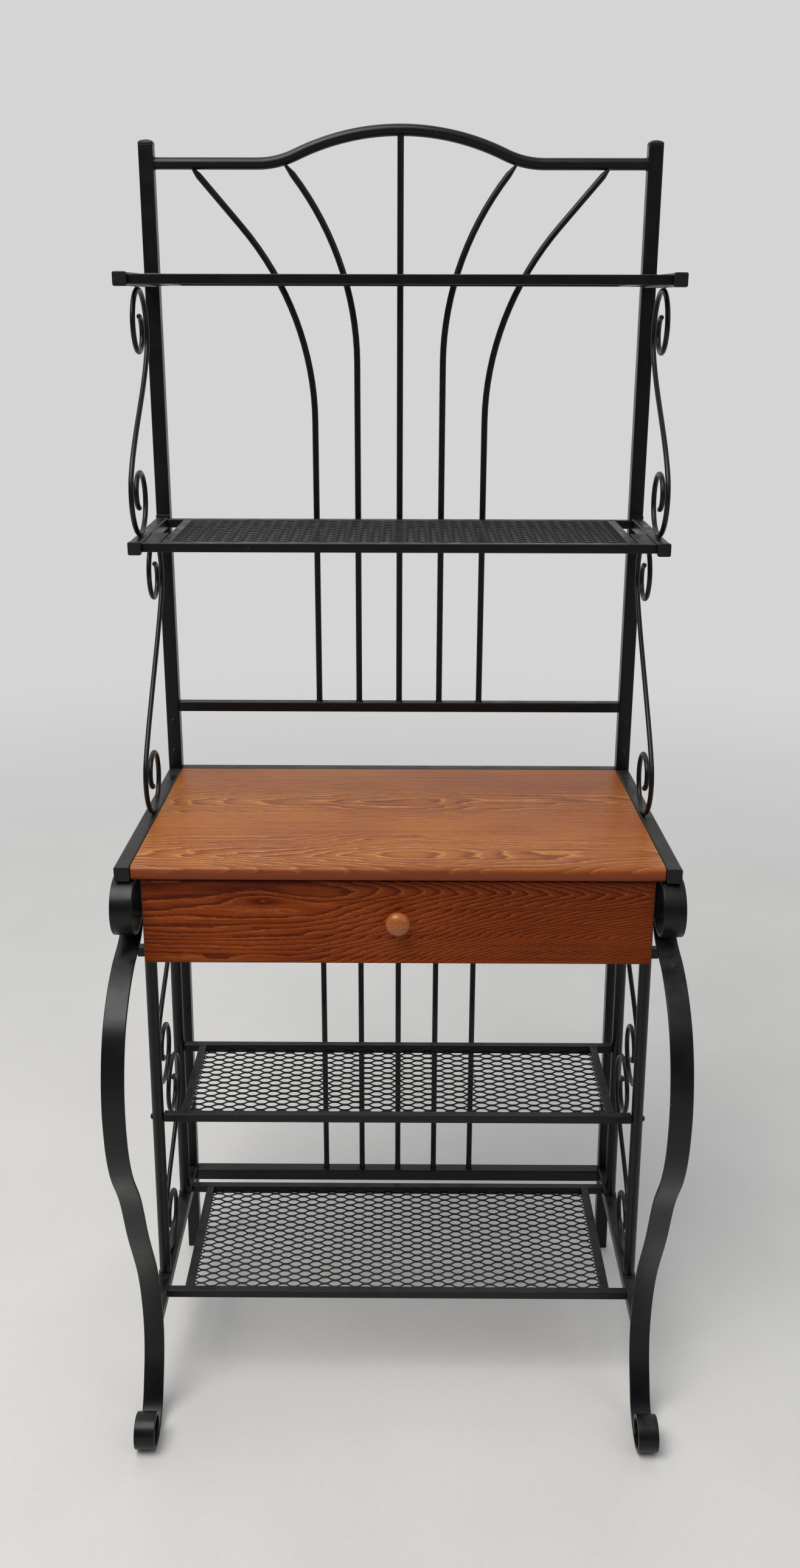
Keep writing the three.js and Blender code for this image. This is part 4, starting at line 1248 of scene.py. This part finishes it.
def scroll_line(rear, front, bottom, top, steps=64):
    """A scroll that fills the space between two reaches and two heights."""
    growth = (CURL - CURL_INNER) / (CURL_TURN - CURL_START)
    curl = []
    for i in range(steps + 1):
        angle = CURL_START - CURL_TURN * (1 - i / steps)
        size = CURL + growth * angle
        curl.append(Vector((size * cos(radians(angle)), size * sin(radians(angle)))))
    shift = Vector((front - SCROLL_ROD / 2 - max(point.x for point in curl),
                    bottom + SCROLL_ROD / 2 - min(point.y for point in curl)))
    half = [point + shift for point in curl]
    centre = Vector(((rear + front) / 2, (bottom + top) / 2))
    turned_round = [2 * centre - point for point in half]
    leaving = radians(CURL_START + 90)
    pull = Vector((cos(leaving), sin(leaving))) * HANDLE
    stroke = bezier(half[-1], half[-1] + pull, turned_round[-1] - pull, turned_round[-1], 18)
    return [at_side(point.x, point.y) for point in half + stroke + turned_round[::-1]]


print("points in a scroll:", len(scroll_line(52, 226, MID_SHELF, TOP_SHELF)))

# %% [markdown]
# ## Scrolls
# The two upper scrolls on each side hold up the shelves, and the two lower ones stand between
# the posts, one upon the other. Each touches what is above and below it at one point, where it
# is welded with a short seam. The ends of the rod were cut off and lightly dressed, so their
# last few millimetres get a little thinner.

# %% Scrolls
POST = 17.0
POST_REACHES = {"front": 258.0, "rear": 66.0}
UNDER_TUBE = SHELF_TUBE + GAP
UPPER_SCROLL_TOP = 744.0
TIP, TIP_KEPT = 3.0, 0.72


def dressed_tips(line):
    """Makes the rod a little thinner at both of its cut ends."""
    def shape(i):
        tip = line[0] if i < len(line) / 2 else line[-1]
        keep = TIP_KEPT + (1 - TIP_KEPT) * min(1.0, (tip - line[i]).length / TIP)
        return (keep, keep)
    return shape


between_scrolls = (BOTTOM_SHELF + UPPER_SCROLL_TOP) / 2
behind_post = POST_REACHES["rear"] + POST / 2 + GAP
before_post = POST_REACHES["front"] - POST / 2 - GAP
# For each: how far in front of the uprights it begins and ends, its bottom, its top, its lean.
scrolls = {
    "top_scroll": (52, 226, MID_SHELF + GAP, TOP_SHELF - UNDER_TUBE, 0),
    "mid_scroll": (32, 236, WORKTOP + GAP, MID_SHELF - UNDER_TUBE, 0),
    "side_scroll_upper": (behind_post, before_post, between_scrolls + GAP, UPPER_SCROLL_TOP, FOOT_SPREAD),
    "side_scroll_lower": (behind_post, before_post, BOTTOM_SHELF + GAP, between_scrolls, FOOT_SPREAD),
}
for name, (rear, front, bottom, top, spread) in scrolls.items():
    line = scroll_line(rear, front, bottom, top)
    shapes = [sweep(line, circle(SCROLL_ROD, 14), (1, 0, 0), dressed_tips(line))]
    lowest = min(line, key=lambda point: point.z)
    highest = max(line, key=lambda point: point.z)
    for k, (point, turn) in enumerate(((lowest, -1), (highest, 1))):
        on_top = turn * (SCROLL_ROD / 2 - 0.6)
        seam = [point + Vector((dx, dy, on_top)) for dx, dy in ((2.2, -5), (2.9, -1), (2.4, 4))]
        shapes.append(bead(seam, 2.2, 60 + k))
    for side, sign in SIDES:
        piece(f"{name}_rod_{side}", shapes, black_steel, [f"{name}_{side}"],
              bend=both(leaned(spread), mirrored(sign)))
print("scrolls:", len(pieces), "pieces so far")

# %% [markdown]
# ## The line of a leg
# The bowed leg is one flat bar. It curls under the worktop's rail, swells forward, comes back
# to the lower rail and ends in a small curl on the floor. The two curls are worked out as
# spirals. The long sweeps between them are read from the photograph, as shares of the way from
# one turning point to the next, so that the leg follows when a turning point is moved.

# %% Line of a leg
LEG_WIDTH, LEG_THICK = 29.0, 5.0
BULGE, WAIST, SHOULDER = (502.0, 0.668 * WORKTOP), (340.0, 125.0), (350.0, RAIL_UNDER - 94)
TOP_CURL, TOP_CURL_RADIUS, TOP_CURL_END = 361.0, 37.0, -130.0
FOOT_CURL, FOOT_RADIUS, FOOT_INNER, FOOT_END = 424.0, 25.0, 18.0, 235.0
THIGH = [(0.02, 0.117), (0.12, 0.254), (0.41, 0.467), (0.62, 0.65), (0.865, 0.79), (0.965, 0.89)]
TOP_SWEEP = [(0.006, 0.13), (0.035, 0.28), (0.105, 0.465), (0.22, 0.635), (0.41, 0.79), (0.67, 0.915)]
ANKLE = [(0.09, 0.33), (0.24, 0.58), (0.4, 0.8), (0.58, 0.91), (0.78, 0.975)]


def between(start, stop, shares):
    """Points at shares of the way from start to stop, sideways and upwards."""
    return [(start[0] + (stop[0] - start[0]) * a, start[1] + (stop[1] - start[1]) * b) for a, b in shares]


def leg_points():
    """The leg from its upper curl to its foot, as reaches and heights."""
    top_height = RAIL_UNDER - GAP - TOP_CURL_RADIUS - LEG_THICK / 2
    away = (SHOULDER[0] - TOP_CURL, SHOULDER[1] - top_height)
    far = hypot(*away)
    end = degrees(atan2(away[1], away[0])) + 360
    points = []
    for i in range(13):
        angle = TOP_CURL_END + (end - TOP_CURL_END) * i / 12
        past = max(angle - 90, 0) / (end - 90)
        size = TOP_CURL_RADIUS + (far - TOP_CURL_RADIUS) * past ** 2
        points.append((TOP_CURL + size * cos(radians(angle)), top_height + size * sin(radians(angle))))
    points += between(BULGE, SHOULDER, TOP_SWEEP)[::-1] + [BULGE]
    points += between(WAIST, BULGE, THIGH)[::-1] + [WAIST]
    points += between(WAIST, (FOOT_CURL, LEG_THICK / 2), ANKLE)
    for i in range(11):
        angle = radians(-90 + (FOOT_END + 90) * i / 10)
        size = FOOT_RADIUS + (FOOT_INNER - FOOT_RADIUS) * i / 10
        points.append((FOOT_CURL + size * cos(angle), FOOT_RADIUS + LEG_THICK / 2 + size * sin(angle)))
    return [Vector(point) for point in points]


print("points of a leg:", len(leg_points()))

# %% [markdown]
# ## Smoothing the leg
# A bar that is bent over a form has no corners, so the points are joined by a smooth curve. A
# Bezier would need a handle at each point. The curve used here needs none: it passes through
# all the points and takes its direction at each from the points next to it. How far apart
# they are counts too, which keeps the curve from looping where they lie close together.

# %% Smooth leg


def smoothed(points, steps=5):
    """A curve through all the points, from the two neighbours of each stretch."""
    line = []
    last = len(points) - 1
    for i in range(last):
        p0, p1, p2, p3 = points[max(i - 1, 0)], points[i], points[i + 1], points[min(i + 2, last)]
        gap0, gap1, gap2 = [max((b - a).length, 1e-6) ** 0.5 for a, b in ((p0, p1), (p1, p2), (p2, p3))]
        leave = arrive = p2 - p1
        if i:
            leave = (p2 - p1) + gap1 * ((p1 - p0) / gap0 - (p2 - p0) / (gap0 + gap1))
        if i < last - 1:
            arrive = (p2 - p1) + gap1 * ((p3 - p2) / gap2 - (p3 - p1) / (gap1 + gap2))
        for k in range(steps):
            t = k / steps
            line.append(p1 * (2 * t ** 3 - 3 * t ** 2 + 1) + leave * (t ** 3 - 2 * t ** 2 + t)
                        + p2 * (3 * t ** 2 - 2 * t ** 3) + arrive * (t ** 3 - t ** 2))
    return line + [points[-1]]


leg_line = [at_side(point.x, point.y) for point in smoothed(leg_points())]
print("leg line:", len(leg_line), "sections")

# %% [markdown]
# ## Legs, rails and posts
# Below the worktop each side is one frame. A square rail carries the worktop and is closed at
# its front end. Two round posts stand between it and a lower rail, and the flat leg is
# fastened in front of them. All are made square first. Then the lower rails and the posts
# lean with the uprights, and the worktop's rails toe out. The leg moves out by as much as the
# front of the worktop and leans half as far as the posts, so it ends a little outside them.

# %% Pieces of a side frame
LOWER_RAIL = 343.0
RAIL_SCREWS = (14, 30)  # how far in front of the uprights


def bowed_leg(side, sign):
    """The flat leg, moved out to the front corner of the worktop."""
    def set_leg(x, y, z):
        return mirrored(sign)(*leaned(LEG_SPREAD)(x + TOE_OUT, y, z))

    leg = sweep(leg_line, rounded(LEG_WIDTH, LEG_THICK, 1.3), (1, 0, 0))
    piece(f"bowed_leg_{side}", [leg], black_steel, [f"front_leg_{side}"], bend=set_leg)


def side_rails(side, sign):
    """The rail under the worktop's edge, and the one near the floor with its two screws."""
    upper = block((UPRIGHT_X - TUBE / 2, reach(SIDE_RAIL), RAIL_UNDER),
                  (UPRIGHT_X + TUBE / 2, reach(GAP), WORKTOP), 1, TUBE_CORNER, 0.9)
    piece(f"worktop_rail_{side}", [upper], black_steel, [f"worktop_side_rail_{side}"],
          bend=both(toed_out, mirrored(sign)))
    lower = block((UPRIGHT_X - TUBE / 2, reach(LOWER_RAIL), BOTTOM_SHELF - TUBE),
                  (UPRIGHT_X + TUBE / 2, reach(GAP), BOTTOM_SHELF), 1, TUBE_CORNER)
    heads = [dome(at_side(distance, BOTTOM_SHELF), (0, 0, 1), 6.5, 1.6) for distance in RAIL_SCREWS]
    piece(f"lower_side_rail_{side}", [lower] + heads, black_steel, [f"bottom_side_rail_{side}"],
          bend=both(leaned(FOOT_SPREAD), mirrored(sign)))


def round_posts(side, sign):
    """Both posts, with a ring of weld at each end. The front one also has the screw that
    holds the lower shelf."""
    for which, distance in POST_REACHES.items():
        line = [at_side(distance, height) for height in (BOTTOM_SHELF, 500, RAIL_UNDER)]
        seed = 70 + int(distance)
        shapes = [sweep(line, circle(POST, 28), (0, 1, 0)),
                  ring_bead(at_side(distance, BOTTOM_SHELF + 0.5), (0, 0, 1), 9.0, 2.4, seed),
                  ring_bead(at_side(distance, RAIL_UNDER - 0.6), (0, 0, 1), 8.8, 2.0, seed + 5)]
        if which == "front":
            beside_post = (UPRIGHT_X + POST / 2 - 0.4, reach(distance), LOWER_SHELF - 6)
            shapes.append(dome(beside_post, (1, 0, 0), 9, 3.2))
        piece(f"{which}_round_post_{side}", shapes, black_steel, [f"{which}_post_{side}"],
              bend=both(leaned(FOOT_SPREAD), mirrored(sign)))


for side, sign in SIDES:
    bowed_leg(side, sign)
    side_rails(side, sign)
    round_posts(side, sign)
low, high = node_box("front_cross_rail")
piece("front_cross_tube", [block(low, high, 0, 1.6, 0.8)], black_steel, ["front_cross_rail"])
print("side frames:", len(pieces), "pieces so far")

# %% [markdown]
# ## The worktop
# The oak board lies between the side rails, flush with their tops. Its front edge is rounded
# over, above and below, and carries a soft line of light in the photograph. A Bevel modifier
# would round every edge alike. Here the outline is drawn once, looking along the board, and
# carried from side to side, so only the front is round.

# %% Worktop board
NOSE = 7.5
BOARD_DEPTH = 378.0


def board_outline(inset):
    """The board as it is seen from its end, made smaller all round by inset."""
    back = reach(GAP) - inset
    outline = [(back, RAIL_UNDER + inset), (back, WORKTOP - inset)]
    size = NOSE - inset
    for height, start in ((WORKTOP - NOSE, 90), (RAIL_UNDER + NOSE, 180)):
        for i in range(9):
            angle = radians(start + 90 * i / 8)
            outline.append((reach(BOARD_DEPTH - NOSE) + size * cos(angle), height + size * sin(angle)))
    return outline


half_board = UPRIGHT_X - TUBE / 2 - GAP
stations = [(-half_board, 1.2), (-half_board + 0.4, 0.35), (-half_board + 1.3, 0.0)]
stations += [(-x, inset) for x, inset in reversed(stations)]
board = skin([[(x, y, z) for y, z in board_outline(inset)] for x, inset in stations])
piece("oak_worktop", [board], oak_top, ["worktop_board"], bend=toed_out)
print("the board is", 2 * half_board, "mm long at the uprights")

# %% [markdown]
# ## The drawer
# The drawer's front is one broad board of darker oak with its edges just broken. Behind it is
# a plain box of plywood that runs in two steel channels. Every piece says that it rides with
# the body called drawer, and is parented to that body's empty, so they move together:
# nothing is parented or keyed by hand.

# %% Drawer front and box
low, high = node_box("drawer_front")
piece("drawer_face", [block(low, high, 1, 1.6, 1.6)], oak_face, ["drawer_front"], "drawer")
for node, axis, material, name in (("drawer_back", 0, ply_back, "drawer_box_back"),
                                   ("drawer_bottom", 0, ply_bottom, "drawer_box_bottom"),
                                   ("drawer_side_left", 1, ply_side, "drawer_box_side_left"),
                                   ("drawer_side_right", 1, ply_side, "drawer_box_side_right")):
    low, high = node_box(node)
    piece(name, [block(low, high, axis, 0.8)], material, [node], "drawer")
print("drawer:", len(pieces), "pieces so far")

# %% [markdown]
# ## The knob
# The knob is turned from oak: a short waist and a flattened ball. A lathe needs only half of
# its outline, and so does this: pairs of radius and height, from the drawer outwards, are
# turned round the line that points to the front.

# %% Knob
KNOB_PROFILE = [(8.0, 0.0), (8.1, 0.8), (7.6, 1.8), (6.7, 3.4), (6.4, 5.0), (6.8, 6.4), (8.4, 8.0),
                (11.2, 9.6), (13.6, 11.2), (15.2, 13.2), (15.9, 15.4), (15.9, 17.4), (15.2, 19.6),
                (13.8, 21.6), (11.6, 23.4), (8.8, 24.8), (5.6, 25.6), (2.6, 25.95), (0.05, 26.0)]
low, high = node_box("drawer_knob")
knob_foot = ((low[0] + high[0]) / 2, high[1], (low[2] + high[2]) / 2)
piece("turned_knob", [turned(KNOB_PROFILE, knob_foot, (0, -1, 0))], oak_knob, ["drawer_knob"],
      "drawer", sharp=60)
print("all pieces:", len(pieces))

# %% [markdown]
# ## Sizes
# The dressed rack must not outgrow the solids, so every point of a piece is kept inside their box as it is
# made.

# %% Sizes and finish
print("the pieces are done")
